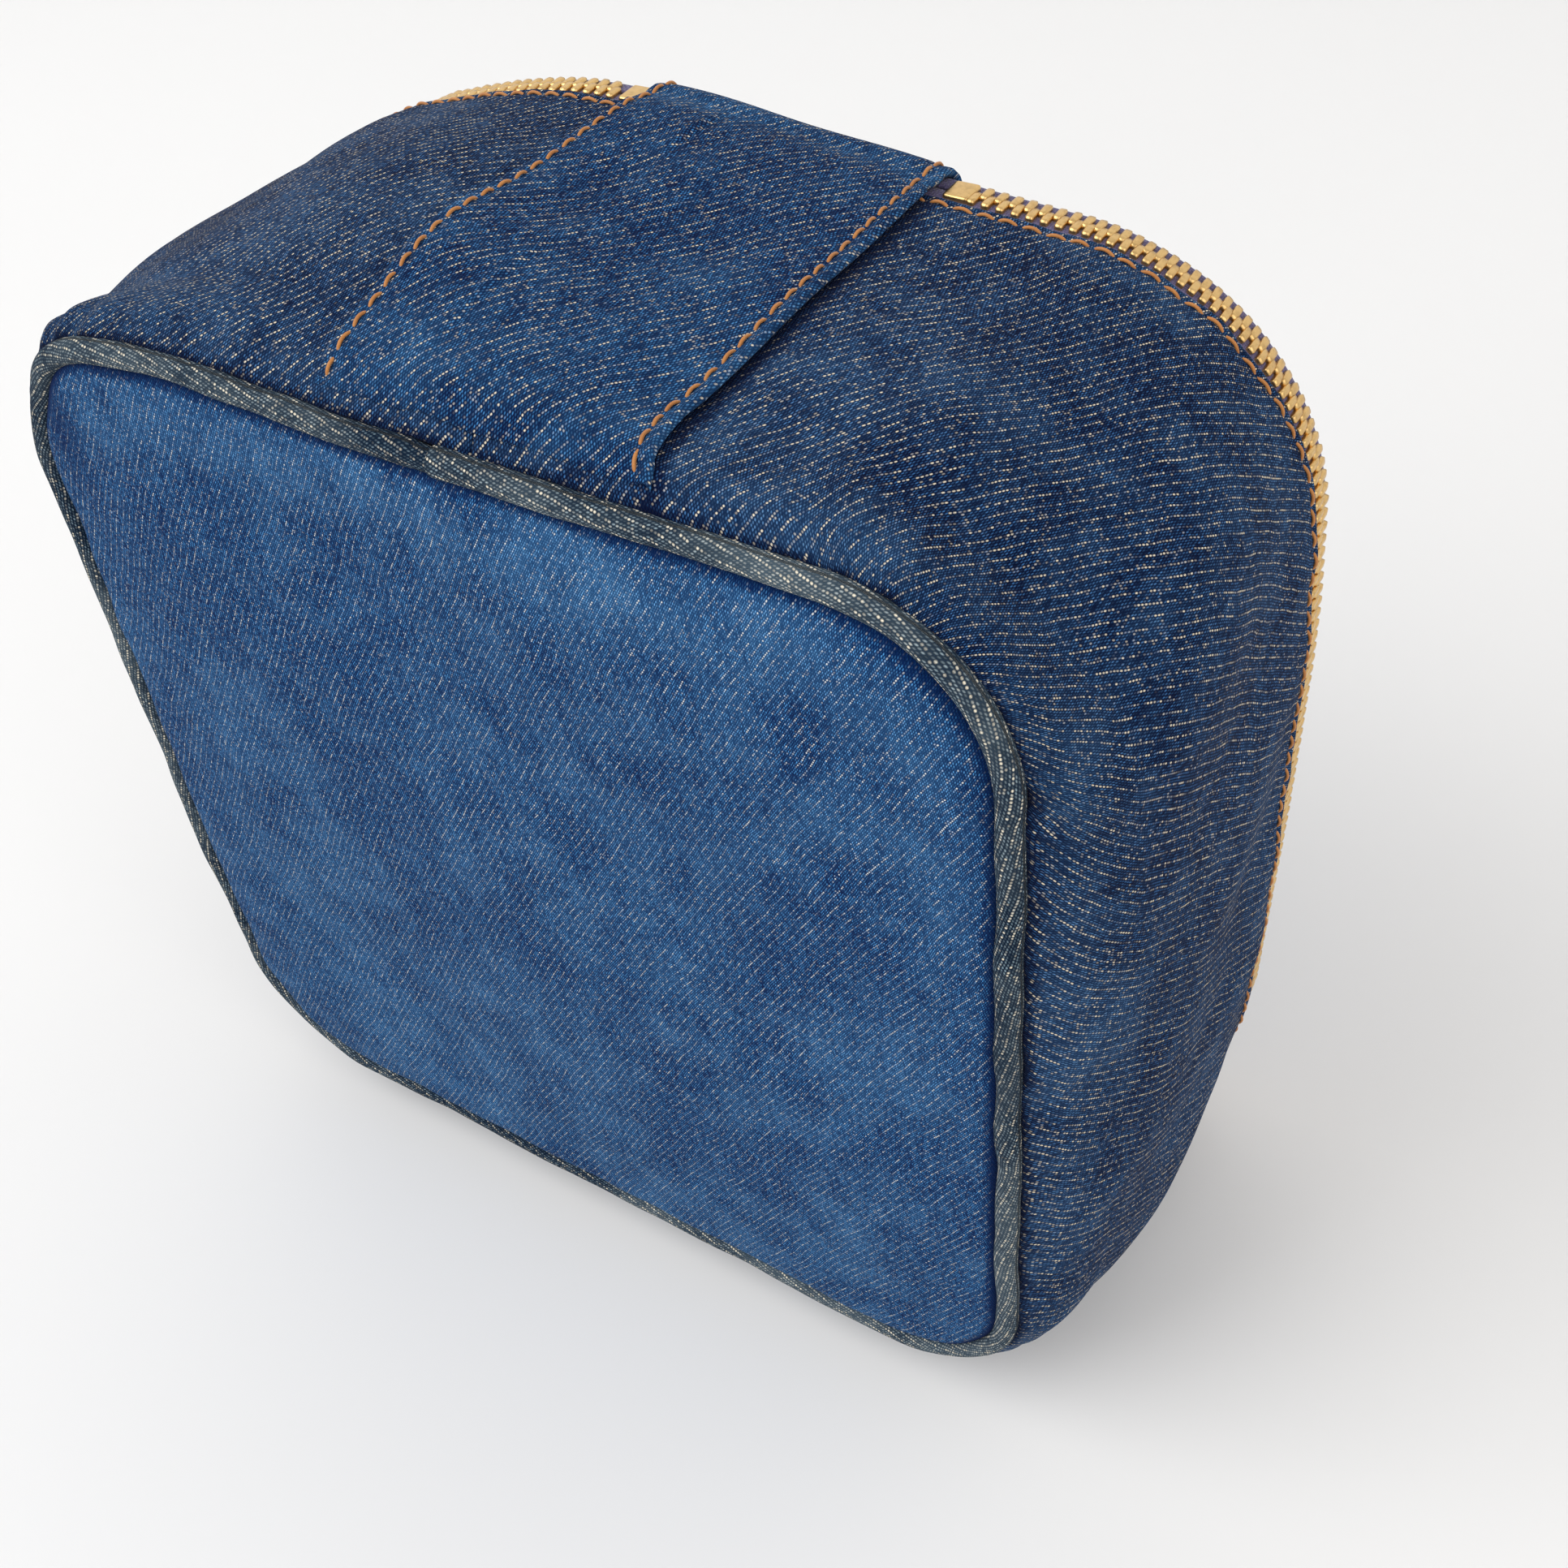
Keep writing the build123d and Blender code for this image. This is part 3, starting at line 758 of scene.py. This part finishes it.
# ---------------------------------------------------------------- Geometry Nodes for what repeats
class Repeats:
    """Places small meshes on the points of a guide mesh, turned by its attributes."""

    def __init__(self, name, *inputs):
        self.tree = bpy.data.node_groups.new(name, "GeometryNodeTree")
        face = self.tree.interface
        face.new_socket("Geometry", in_out="INPUT", socket_type="NodeSocketGeometry")
        self.ids = {}
        for label, value in inputs:
            socket = face.new_socket(label, in_out="INPUT", socket_type="NodeSocketFloat")
            socket.default_value = value
            self.ids[label] = socket.identifier
        face.new_socket("Geometry", in_out="OUTPUT", socket_type="NodeSocketGeometry")
        self.start = self.tree.nodes.new("NodeGroupInput")
        self.end = self.tree.nodes.new("NodeGroupOutput")

    def new(self, kind, links=(), **settings):
        node = self.tree.nodes.new(kind)
        for key, value in settings.items():
            setattr(node, key, value)
        for socket, value in dict(links).items():
            if isinstance(value, bpy.types.NodeSocket):
                self.tree.links.new(value, node.inputs[socket])
            else:
                node.inputs[socket].default_value = value
        return node

    def named(self, name):
        node = self.new("GeometryNodeInputNamedAttribute", {"Name": name}, data_type="FLOAT_VECTOR")
        return node.outputs["Attribute"]

    def spread(self, part, material, seed, sway):
        """One copy of part on each point, turned by the guide's "turn" and scaled by its "grow"."""
        rock = self.new("FunctionNodeRandomValue", {"Min": (-sway,) * 3, "Max": (sway,) * 3, "Seed": seed},
                        data_type="FLOAT_VECTOR").outputs["Value"]
        total = self.new("ShaderNodeVectorMath", {0: self.named("turn"), 1: rock}, operation="ADD").outputs[0]
        places = {"Points": self.start.outputs["Geometry"], "Instance": part, "Rotation": total,
                  "Scale": self.named("grow")}
        placed = self.new("GeometryNodeInstanceOnPoints", places)
        real = self.new("GeometryNodeRealizeInstances", {"Geometry": placed.outputs["Instances"]})
        painted = self.new("GeometryNodeSetMaterial", {"Geometry": real.outputs[0], "Material": material})
        self.tree.links.new(painted.outputs[0], self.end.inputs[0])

    def build(self, name, points, turns, grows, body, slot=None, stands_for=(), **values):
        guide = bpy.data.meshes.new(name + "_guide")
        guide.from_pydata([tuple(p) for p in np.asarray(points) + HOME], [], [])
        for label, data in (("turn", turns), ("grow", grows)):
            guide.attributes.new(label, "FLOAT_VECTOR", "POINT").data.foreach_set("vector", np.ravel(data))
        obj = link(name + "_guide", guide)
        modifier = obj.modifiers.new("repeat", "NODES")
        modifier.node_group = self.tree
        for label, value in values.items():
            modifier[self.ids[label.replace("_", " ")]] = value
        made = bpy.data.meshes.new_from_object(obj.evaluated_get(bpy.context.evaluated_depsgraph_get()))
        bpy.data.objects.remove(obj)
        piece = link(name, made)
        if body:
            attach(piece, body)
        if stands_for:
            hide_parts(*stands_for)
        return piece


def euler(x_axis, z_axis):
    """Euler turns that take X and Z to these directions."""
    x = x_axis / np.linalg.norm(x_axis, axis=-1, keepdims=True)
    z = z_axis - x * (x * z_axis).sum(-1, keepdims=True)
    z /= np.linalg.norm(z, axis=-1, keepdims=True)
    y = np.cross(z, x)
    return np.array([Matrix((a, b, c)).transposed().to_euler() for a, b, c in zip(x, y, z)])


def stitch_tree():
    """A stitch of topstitching thread, sunk at its ends."""
    r = Repeats("stitches", ("Length", 2.5 * MM), ("Thickness", 0.5 * MM))
    line = r.new("GeometryNodeCurveArc", {"Resolution": 7, "Radius": 1.0, "Start Angle": math.radians(35),
                                          "Sweep Angle": math.radians(110)}, mode="RADIUS")
    long = r.new("ShaderNodeMath", {0: r.start.outputs["Length"], 1: 1.64}, operation="DIVIDE").outputs[0]
    scale = r.new("ShaderNodeCombineXYZ", {"X": long, "Y": 1.15 * MM, "Z": 1.0}).outputs[0]
    sized = r.new("GeometryNodeTransform", {"Geometry": line.outputs["Curve"], "Scale": scale})
    raised = r.new("GeometryNodeTransform", {"Geometry": sized.outputs[0], "Translation": (0, -0.88 * MM, 0)})
    half = r.new("ShaderNodeMath", {0: r.start.outputs["Thickness"], 1: 0.5}, operation="MULTIPLY").outputs[0]
    ring = r.new("GeometryNodeCurvePrimitiveCircle", {"Resolution": 6, "Radius": half}, mode="RADIUS")
    profile = {"Curve": raised.outputs[0], "Profile Curve": ring.outputs["Curve"], "Fill Caps": True}
    bar = r.new("GeometryNodeCurveToMesh", profile)
    smooth_bar = r.new("GeometryNodeSetShadeSmooth", {"Geometry": bar.outputs[0]})
    r.spread(smooth_bar.outputs[0], THREAD, 4, 0.05)
    return r


def tooth_tree():
    """One zip tooth: a bar across the chain with a rounded head."""
    r = Repeats("teeth", ("Across", 2.7 * MM), ("Along", 1.12 * MM), ("Thick", 2.0 * MM))
    size = r.new("ShaderNodeCombineXYZ", {"X": r.start.outputs["Across"], "Y": r.start.outputs["Along"],
                                          "Z": r.start.outputs["Thick"]}).outputs[0]
    box = r.new("GeometryNodeMeshCube", {"Size": size})
    rounding = {"Mesh": box.outputs["Mesh"], "Level": 2, "Edge Crease": 0.72}
    round_box = r.new("GeometryNodeSubdivisionSurface", rounding)
    smooth_box = r.new("GeometryNodeSetShadeSmooth", {"Geometry": round_box.outputs[0]})
    r.spread(smooth_box.outputs[0], BRASS, 7, 0.05)
    return r


STITCHES = stitch_tree()
TEETH = tooth_tree()


def stitch_line(name, path, up, body, gap=0.85 * MM, length=2.5 * MM, seed=1):
    """Topstitching along a path of points on the cloth. up is the cloth's outward direction at each."""
    run = run_along(path)
    count = max(1, int(run[-1] / (length + gap)))
    at = (np.arange(count) + 0.5) * run[-1] / count
    at = at + rng(seed).uniform(-0.12, 0.12, count) * MM
    point = along_line(path, run, at)
    ahead = along_line(path, run, at + 0.5 * MM) - along_line(path, run, at - 0.5 * MM)
    out = along_line(up, run, at)
    out /= np.linalg.norm(out, axis=1, keepdims=True)
    # in the part, Y is away from the cloth
    side = np.cross(ahead, out)
    turns = euler(ahead, side)
    grows = np.stack([rng(seed + 1).uniform(0.93, 1.04, count), np.ones(count), np.ones(count)], -1)
    return STITCHES.build(name, point + out * (0.05 * MM), turns, grows, body, Length=length)


# ---------------------------------------------------------------- topstitching beside the zip
def fold_stitches():
    start, end = BAND_RIGHT - 3 * MM, RIM_ROUND + BAND_LEFT + 3 * MM
    s = np.arange(start, end, 1.0 * MM)
    depth = np.full_like(s, FOLD_Y - STITCH_IN)
    path = wall_point(s % RIM_ROUND, depth, wall_bumps(s, depth) - 0.16 * MM)
    path[:, 2] = np.maximum(path[:, 2], FLOOR_Z + 0.66 * MM)
    _, _, nx, nz = rounded_rectangle(turn_at(s % RIM_ROUND), RIM_X, RIM_Z, RIM_CORNER)
    stitch_line("fold_stitches", path, np.stack([nx, 0 * nx, nz], -1), "case", seed=3)


fold_stitches()


# ---------------------------------------------------------------- zip
def chain_point(s, y, out=0.0):
    """A point on the rim's outline moved in to the middle of the chain, at depth y."""
    t = turn_at(s % RIM_ROUND)
    x, z, nx, nz = rounded_rectangle(t, RIM_X, RIM_Z, RIM_CORNER)
    away = CHAIN_IN - out + WALL_SET(t)
    x, z = x - nx * away, z - nz * away
    return np.stack([x, np.broadcast_to(y, x.shape), z], -1), np.stack([nx, 0 * nx, nz], -1)


PITCH = 2.12 * MM
STOP_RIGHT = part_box("zip_stop_right")[1].x - HOME[0]
STOP_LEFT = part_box("zip_stop_left")[0].x - HOME[0]


def teeth():
    start, end = STOP_RIGHT + 0.6 * MM, RIM_ROUND + STOP_LEFT - 0.6 * MM
    rows = (("zip_teeth_body", "case", -1, 0.0), ("zip_teeth_lid", "lid", 1, PITCH / 2))
    for name, body, side, first in rows:
        s = np.arange(start + first, end, PITCH)
        point, out = chain_point(s, ZIP_Y + side * 0.85 * MM)
        turns = euler(np.broadcast_to(np.array([0.0, 1.0, 0.0]), out.shape), out)
        TEETH.build(name, point, turns, np.ones((len(s), 3)), body, "brass", (name,))


teeth()


def stops():
    """Metal stops at the two ends of the chain, beside the band."""
    for name in ("zip_stop_left", "zip_stop_right"):
        low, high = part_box(name)
        half = (high - low) / 2
        centre, out = chain_point(np.array([(low.x + high.x) / 2 - HOME[0] + 0.2 * MM]) % RIM_ROUND, ZIP_Y)
        mesh = bmesh.new()
        bmesh.ops.create_cube(mesh, size=2.0)
        for v in mesh.verts:
            v.co = Vector((v.co.x * half.x, v.co.y * half.y, v.co.z * half.z * 0.8))
        bmesh.ops.bevel(mesh, geom=mesh.edges[:], offset=0.55 * MM, segments=4, profile=0.6, affect="EDGES")
        tilt = Vector((0, 0, 1)).rotation_difference(Vector(out[0]))
        for v in mesh.verts:
            v.co = tilt @ v.co + Vector(centre[0]) + Vector(HOME)
        data = bpy.data.meshes.new(name)
        mesh.to_mesh(data)
        mesh.free()
        data.polygons.foreach_set("use_smooth", [True] * len(data.polygons))
        piece = link(name, data)
        belong(piece, BRASS, "case", "brass", name)


stops()


def ring_of_tape(name, body, side):
    """Zip tape from under its row of teeth, out past the wall's fold or the lid's edge, then turned in."""
    s = np.arange(BAND_RIGHT - 6 * MM, RIM_ROUND + BAND_LEFT + 6 * MM, 1.5 * MM)
    if side < 0:
        reach = np.array([0.3, 1.2, 2.2, 3.2, 4.2, 5.2, 8.0, 12.0]) * MM
    else:
        reach = np.array([0.3, 1.2, 2.2, 2.5, 2.62, 2.7]) * MM
    grid = np.stack([chain_point(s, ZIP_Y + side * r)[0] for r in reach], 1)
    if side < 0:
        swelled = wall_point((s % RIM_ROUND)[:, None], (ZIP_Y - reach)[None, :], -(DENIM * 2 + 0.35 * MM))
        share = smooth((reach - 1.9 * MM) / (2.2 * MM))[None, :, None]
        grid = grid * (1 - share) + swelled * share
        grid[..., 2] = np.maximum(grid[..., 2], FLOOR_Z + 2.2 * MM)
    else:
        corner, _ = chain_point(s, ZIP_Y + 2.9 * MM, -0.3 * MM)
        flat = [chain_point(s, ZIP_Y + 2.95 * MM, -d * MM)[0] for d in (1.0, 3.0, 6.0, 9.0)]
        grid = np.concatenate([grid, corner[:, None], np.stack(flat, 1)], 1)
    n = normals(grid) * (-side)
    thick = 0.5 * MM
    run = run_along(grid[0])
    cloth = together(run[None, :], s[:, None], 0.0)
    piece = shell(name, grid + n * thick / 2, grid - n * thick / 2, cloth, flip=side > 0)
    belong(piece, ZIP_TAPE, body, "zip_tape", name)


ring_of_tape("zip_tape_body", "case", -1)
ring_of_tape("zip_tape_lid", "lid", 1)

# ---------------------------------------------------------------- hinge band
LIFT = 0.35 * MM                                        # the band lies this far above the walls
FLAP_END = 30 * MM                                      # the band's end on the lid, below the rim's top


BAND_DEPTHS = np.concatenate([np.linspace(3.4 * MM, 12 * MM, 14), np.linspace(12.8 * MM, 70.5 * MM, 66)])
ROW_LEFT, ROW_RIGHT = 2.0 * MM, 2.4 * MM               # topstitching, from the band's edges
OVER_COUNT = 54                                         # points across the rim and down the lid


def band_blend(piece):
    """Bakes the piece's transform into its mesh."""
    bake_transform(piece)


def band():
    """Hinge band: it lies on the top wall, goes over the rim and ends on the lid."""
    x = np.linspace(BAND_LEFT, BAND_RIGHT, 64)
    u = (x - BAND_LEFT) / (BAND_RIGHT - BAND_LEFT)
    # along the walls
    depth = BAND_DEPTHS
    s = np.broadcast_to(x[:, None] % RIM_ROUND, (len(x), len(depth)))
    d = np.broadcast_to(depth[None, :], s.shape)
    start = np.exp(-np.clip(d - 3.4 * MM, 0, None) / (2.2 * MM))
    out = wall_bumps(s, d) + (LIFT + DENIM) * (1 - 0.45 * start)
    edge_right, edge_left = BAND_RIGHT - x, x - BAND_LEFT
    stitch = -0.3 * MM * stitch_dip(edge_right - ROW_RIGHT, 0.8 * MM)
    stitch = stitch - 0.22 * MM * stitch_dip(edge_left - ROW_LEFT, 0.7 * MM)
    swell_edge = 0.45 * MM * np.exp(-((edge_right - 1.0 * MM) / (1.0 * MM)) ** 2)
    rolled = -0.35 * MM * np.exp(-edge_right / (0.25 * MM)) - 0.75 * MM * np.exp(-edge_left / (0.5 * MM))
    body = ripple(s, d, 41, (16 * MM, 40 * MM)) * 0.35 * MM
    out = out + (stitch + swell_edge + rolled)[:, None] + body * smooth(edge_right / (6 * MM))[:, None]
    share = swell(d)
    share = np.where(d < 6 * MM, share * (1 - 0.25 * start), share)
    grid = wall_point(s, d, out, share)
    # over the rim, and down the lid
    ridge_y = ZIP_Y + 0.2 * MM
    drop = WALL_SET(turn_at(x % RIM_ROUND))
    rows = []
    for k in range(len(x)):
        ridge_z = RIM_Z + 1.15 * MM - drop[k]
        low = 0.5 * MM * math.sin(3.0 * u[k] * math.pi)
        p0, p1 = grid[k, -1], grid[k, -6]
        lid_y = LID_Y + LIFT + 0.9 * MM
        line = [(p1[1], p1[2]), (p0[1], p0[2]), (ridge_y - 1.4 * MM, ridge_z - 0.15 * MM + low * 0.2),
                (ridge_y + 0.8 * MM, ridge_z + low * 0.3), (lid_y - 1.2 * MM, ridge_z - 1.5 * MM + low * 0.3),
                (lid_y + 0.1 * MM, ridge_z - 4.2 * MM), (lid_y, ridge_z - 9 * MM), (lid_y, ridge_z - 18 * MM),
                (lid_y - 0.1 * MM, RIM_Z - FLAP_END)]
        curve = spline(line, 64)
        run = run_along(curve)
        skip = math.hypot(p0[1] - p1[1], p0[2] - p1[2])
        at = np.linspace(skip + 0.6 * MM, run[-1], OVER_COUNT)
        y, z = along_line(curve, run, at).T
        rows.append(together(x[k], y, z))
    over = np.stack(rows)
    n = normals(np.concatenate([grid, over], 1))[:, len(depth):]
    over = over - n * (rolled + stitch)[:, None, None]
    grid = np.concatenate([grid, over], 1)
    n = -normals(grid)
    inner = grid - n * DENIM
    run = run_along(grid[30])
    wear_and_shade = 0.35 * np.exp(-edge_right / (0.9 * MM)) + 0.2 * np.exp(-edge_left / (0.8 * MM))
    wear_and_shade = wear_and_shade[:, None] + 0.25 * np.exp(-((run[None, :] - 7 * MM) / (5 * MM)) ** 2)
    ridge = run[len(depth) + 6]
    wear_and_shade = wear_and_shade + 0.3 * np.exp(-((run[None, :] - ridge) / (3 * MM)) ** 2)
    frayed = (edge_left[:, None] / (1.4 * MM)) ** 2 + ((run[None, :] - 33 * MM) / (3.4 * MM)) ** 2
    wear_and_shade = wear_and_shade + 0.9 * np.exp(-frayed)
    cloth = together(x[:, None], run[None, :], wear_and_shade)
    piece = dress(shell("hinge_band", grid, inner, cloth), DENIM_BAND)
    band_blend(piece)
    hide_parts("hinge_band", "hinge_flap")
    for name, at, seed in (("band_stitches_left", BAND_LEFT + ROW_LEFT, 11),
                           ("band_stitches_right", BAND_RIGHT - ROW_RIGHT, 15)):
        k = (at - BAND_LEFT) / (BAND_RIGHT - BAND_LEFT) * (len(x) - 1)
        a, f = int(k), k - int(k)
        line = grid[a] * (1 - f) + grid[a + 1] * f
        up = n[a] * (1 - f) + n[a + 1] * f
        band_blend(stitch_line(name, line[1:-2], up[1:-2], None, seed=seed))
    stitch_line("band_stitches_end", grid[3:-3, -4], n[3:-3, -4], "lid", seed=17)


band()


# ---------------------------------------------------------------- padding, linings and bindings
def wall_layer(name, inset, thick, start, end, material, slot, soft=0.0, limits=None):
    """Cloth or foam that follows the walls' inside from one depth to another."""
    wrap = limits is None
    s = np.linspace(0, RIM_ROUND, 330)[:-1] if wrap else np.arange(*limits, 1.4 * MM)
    depth = np.arange(start, end, 1.7 * MM)
    depth = np.append(depth, end)[None, :]
    s = s[:, None]
    loose = ripple(s, depth, 50, (14 * MM, 36 * MM)) * soft - soft
    bumps = wall_bumps(s, depth) + loose
    outer = wall_point(s % RIM_ROUND, depth, bumps - inset)
    inner = wall_point(s % RIM_ROUND, depth, bumps - inset - thick)
    for grid, up in ((outer, inset), (inner, inset + thick)):
        grid[..., 2] = np.maximum(grid[..., 2], FLOOR_Z + up)
    run = depth - start
    cloth = together(s, run, 0.0)
    piece = belong(shell(name, outer, inner, cloth, wrap=wrap), material, "case", slot, name)


def layer_places(name):
    low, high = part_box(name)
    return low.y - BASE_Y, high.y - BASE_Y


PAD_IN, LINING_IN = 1.25 * MM, 3.9 * MM
BINDING_IN = LINING_IN + 0.75 * MM
FACING_IN = BINDING_IN + 1.0 * MM


def linings():
    wall_layer("wall_padding", PAD_IN, 2.3 * MM, 5.5 * MM, layer_places("wall_padding")[1], FOAM, "foam")
    first, last = layer_places("wall_lining")
    wall_layer("wall_lining", LINING_IN, 0.5 * MM, first, last, LINING, "lining", soft=0.35 * MM)
    first, last = layer_places("rim_binding")
    wall_layer("rim_binding", BINDING_IN, 0.8 * MM, first, last, BINDING, "binding")
    first, last = layer_places("base_binding")
    wall_layer("base_binding", BINDING_IN, 0.8 * MM, first, last, BINDING, "binding")


linings()


def disc(name, outline, last, material, body, slot, faces_out=True, puff=None, round_edge=0.25 * MM,
         fill=None, wear_and_shade=None):
    """Flat panel as deep as its CAD node, with the outline that outline(t, inset) gives, its last ring the
    inset last. puff moves its outer face and its inner face alike."""
    first, second = layer_places(name)
    outer_y, inner_y = (second, first) if faces_out else (first, second)
    t = np.linspace(0, 9, 300, endpoint=False)[:, None]
    inset = np.concatenate([np.array([0, 0.3, 1.0, 2.0, 3.5, 5.5]) * MM, np.linspace(8 * MM, last, 44)])
    inset = inset[None, :]
    x, z = outline(t, inset)
    move = 0 if puff is None else puff(x, z, inset)
    thin = round_edge * np.exp(-inset / (0.35 * MM))
    outward = 1 if outer_y > inner_y else -1
    outer = np.stack([x, outer_y + move - outward * thin + 0 * x, z], -1)
    inner = np.stack([x, inner_y + move + outward * thin + 0 * x, z], -1)
    worn = 0 if wear_and_shade is None else wear_and_shade(inset)
    cloth = together(x, z, worn + 0 * x)
    piece = shell(name, outer, inner, cloth, wrap=True, flip=outward < 0)
    close_middles(piece)
    belong(piece, material, body, slot, name)


CENTRE = 1.7 * MM                                       # the hole that the rings leave, closed afterwards


def base_outline(edge):
    return (lambda t, inset: inset_ring(t, inset + edge)), BASE_HALF - edge - CENTRE


def lid_outline(edge):
    """The rim's outline moved in by edge."""
    def outline(t, inset):
        away = inset + edge
        corner = np.maximum(RIM_CORNER - away * 0.8, 0.6 * CENTRE)
        half_x, half_z = np.maximum(RIM_X - away, corner), np.maximum(RIM_Z - away, corner)
        x, z, nx, nz = rounded_rectangle(t, half_x, half_z, corner)
        moved = WALL_SET(t) * (1 - inset / RIM_X) ** 4
        return x - nx * moved, z - nz * moved
    return outline, RIM_Z - edge - CENTRE


def lid_puff(x, z, inset):
    calm = smooth(inset / (14 * MM))
    return ripple(x, z, 61, (50 * MM, 110 * MM)) * 0.25 * MM * calm + 0.25 * MM * calm


def lid_wear(inset):
    return 0.5 * np.exp(-inset / (0.9 * MM)) + 0.2 * np.exp(-((inset - 7 * MM) / (5 * MM)) ** 2)


def panels():
    disc("base_board", *base_outline(3.2 * MM), BOARD, "case", "board", faces_out=False)
    disc("base_lining", *base_outline(1.8 * MM), LINING, "case", "lining")
    disc("lid_panel", *lid_outline(LID_EDGE), DENIM_BASE, "lid", "denim", puff=lid_puff, round_edge=0.42 * MM,
         fill=0.4, wear_and_shade=lid_wear)
    disc("lid_board", *lid_outline(6 * MM), BOARD, "lid", "board")
    disc("lid_lining", *lid_outline(5.4 * MM), LINING, "lid", "lining", faces_out=False)


panels()


def lid_edge_stitches():
    """Topstitching along the lid's edge, left out under the hinge band."""
    s = np.arange(BAND_RIGHT - 2 * MM, RIM_ROUND + BAND_LEFT + 2 * MM, 1.0 * MM)
    t = turn_at(s % RIM_ROUND)
    x, z = lid_outline(LID_EDGE)[0](t, np.full_like(t, 2.0 * MM))
    path = np.stack([x, LID_Y + lid_puff(x, z, 2.0 * MM) + 0 * x, z], -1)
    up = np.broadcast_to(np.array([0.0, 1.0, 0.0]), path.shape)
    stitch_line("lid_edge_stitches", path, up, "lid", seed=21)


lid_edge_stitches()


def lid_binding():
    """Binding tape round the edge of the lid's lining, rounded over."""
    low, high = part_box("lid_binding")
    t = np.linspace(0, 9, 500, endpoint=False)[:, None]
    top, bottom = high.y - BASE_Y, low.y - BASE_Y
    half_way = (low.y + high.y) / 2 - BASE_Y
    # inset in millimetres, depth in metres
    profile = np.array([[4.4, top], [4.42, half_way], [4.45, bottom + 0.4 * MM], [4.7, bottom],
                        [6.0, bottom - 0.05 * MM], [9.5, bottom - 0.1 * MM]])
    edge, depth = profile[None, :, 0] * MM, profile[None, :, 1]
    x, z = lid_outline(0)[0](t, edge + 0 * t)
    x2, z2 = lid_outline(0)[0](t, edge + 0.35 * MM + 0 * t)
    outer = np.stack([x, depth + 0 * x, z], -1)
    grid_in = np.stack([x2, depth + 0.35 * MM * (edge > 4.6 * MM) + 0 * x, z2], -1)
    run = run_along(outer[0])
    along = t / 9 * RIM_ROUND
    cloth = together(run[None, :], along, 0.0)
    piece = shell("lid_binding", outer, grid_in, cloth, wrap=True, flip=True)
    belong(piece, BINDING, "lid", "binding", "lid_binding")


lid_binding()


def hinge_facing():
    """Lining strip behind the hinge: it goes with the case and follows the walls' inside."""
    first, last = layer_places("hinge_facing")
    low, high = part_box("hinge_facing")
    wall_layer("hinge_facing", FACING_IN, 0.5 * MM, first, last, LINING, "lining",
               limits=(low.x - HOME[0] + RIM_ROUND, high.x - HOME[0] + RIM_ROUND))


hinge_facing()


def elastic():
    """Elastic for the brushes, sewn down between its loops."""
    low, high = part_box("brush_elastic")
    loops, columns = 8, 16
    x = np.linspace(low.x, high.x, loops * columns + 1) - HOME[0]
    z = np.linspace(low.z, high.z, 26) - HOME[2]
    phase = (x - x[0]) / (x[-1] - x[0]) * loops
    seam = np.abs(np.sin(phase * math.pi)) ** 0.7
    y_back = high.y - BASE_Y
    y = y_back - (0.45 * MM + 2.4 * MM * seam)
    y[[0, -1]] = y_back - 0.5 * MM
    front = together(x[:, None], y[:, None] + 0.12 * MM * np.cos(z * 900)[None, :], z[None, :])
    back = front + np.array([0, 1.0, 0]) * 0.45 * MM
    cloth = together(z[None, :], x[:, None], 0.0)
    piece = shell("brush_elastic", front, back, cloth, flip=True)
    belong(piece, ELASTIC, "lid", "elastic", "brush_elastic")
    for k in range(loops + 1):
        tack = together(x[k * columns], y_back - 0.62 * MM, np.linspace(z[0] + 1 * MM, z[-1] - 1 * MM, 24))
        up = np.broadcast_to(np.array([0.0, -1.0, 0.0]), tack.shape)
        stitch_line(f"elastic_tack_{k}", tack, up, "lid", gap=0.15 * MM, length=1.6 * MM, seed=70 + k)


elastic()


# ---------------------------------------------------------------- brass pieces that come from the CAD
def brass_nodes():
    for name, node in frame["nodes"].items():
        if name.startswith("slider"):
            dress(node, BRASS)


brass_nodes()


# ---------------------------------------------------------------- stage, lights and camera
def stage():
    bpy.ops.mesh.primitive_plane_add(size=3.0, location=(0, 0, 0))
    floor = bpy.context.object
    floor.name = "floor"
    dress(floor, floor_paint())
    bpy.ops.mesh.primitive_plane_add(size=3.0, location=(0, 0.62, 1.4), rotation=(math.pi / 2, 0, 0))
    back = bpy.context.object
    back.name = "backdrop"
    dress(back, floor_paint())


def light(name, at, aim, energy, width, colour=(1, 1, 1)):
    data = bpy.data.lights.new(name, "AREA")
    data.energy, data.size, data.color = energy, width, colour
    lamp = link(name, data)
    lamp.location = at
    lamp.rotation_mode = "QUATERNION"
    lamp.rotation_quaternion = (Vector(aim) - Vector(at)).to_track_quat("-Z", "Y")


def lights():
    light("window", (-0.9, -0.9, 1.3), (0, 0, 0.09), 18, 1.4, (0.98, 0.99, 1.0))
    light("fill", (1.1, -0.7, 0.9), (0, 0, 0.09), 7.5, 1.4, (1.0, 0.97, 0.94))
    world = bpy.data.worlds.new("room")
    bpy.context.scene.world = world
    world.use_nodes = True
    sky = world.node_tree.nodes["Background"]
    sky.inputs["Color"].default_value = (1.0, 0.985, 0.97, 1)
    sky.inputs["Strength"].default_value = 0.70
    bpy.context.scene.view_settings.view_transform = "Standard"


def camera():
    data = bpy.data.cameras.new("camera")
    data.lens, data.sensor_width = 41.0, 36.0
    data.clip_start, data.clip_end = 0.01, 10
    cam = link("camera", data)
    right, down, ahead = (0.8477, 0.5238, -0.0845), (0.3222, -0.6347, -0.7024), (-0.4215, 0.5682, -0.7067)
    place = np.array([140.6, -121.0, 198.8]) * MM + HOME
    rows = [[right[k], -down[k], -ahead[k], place[k]] for k in range(3)]
    cam.matrix_world = Matrix(rows + [[0, 0, 0, 1]])
    bpy.context.scene.camera = cam


stage()
lights()
camera()
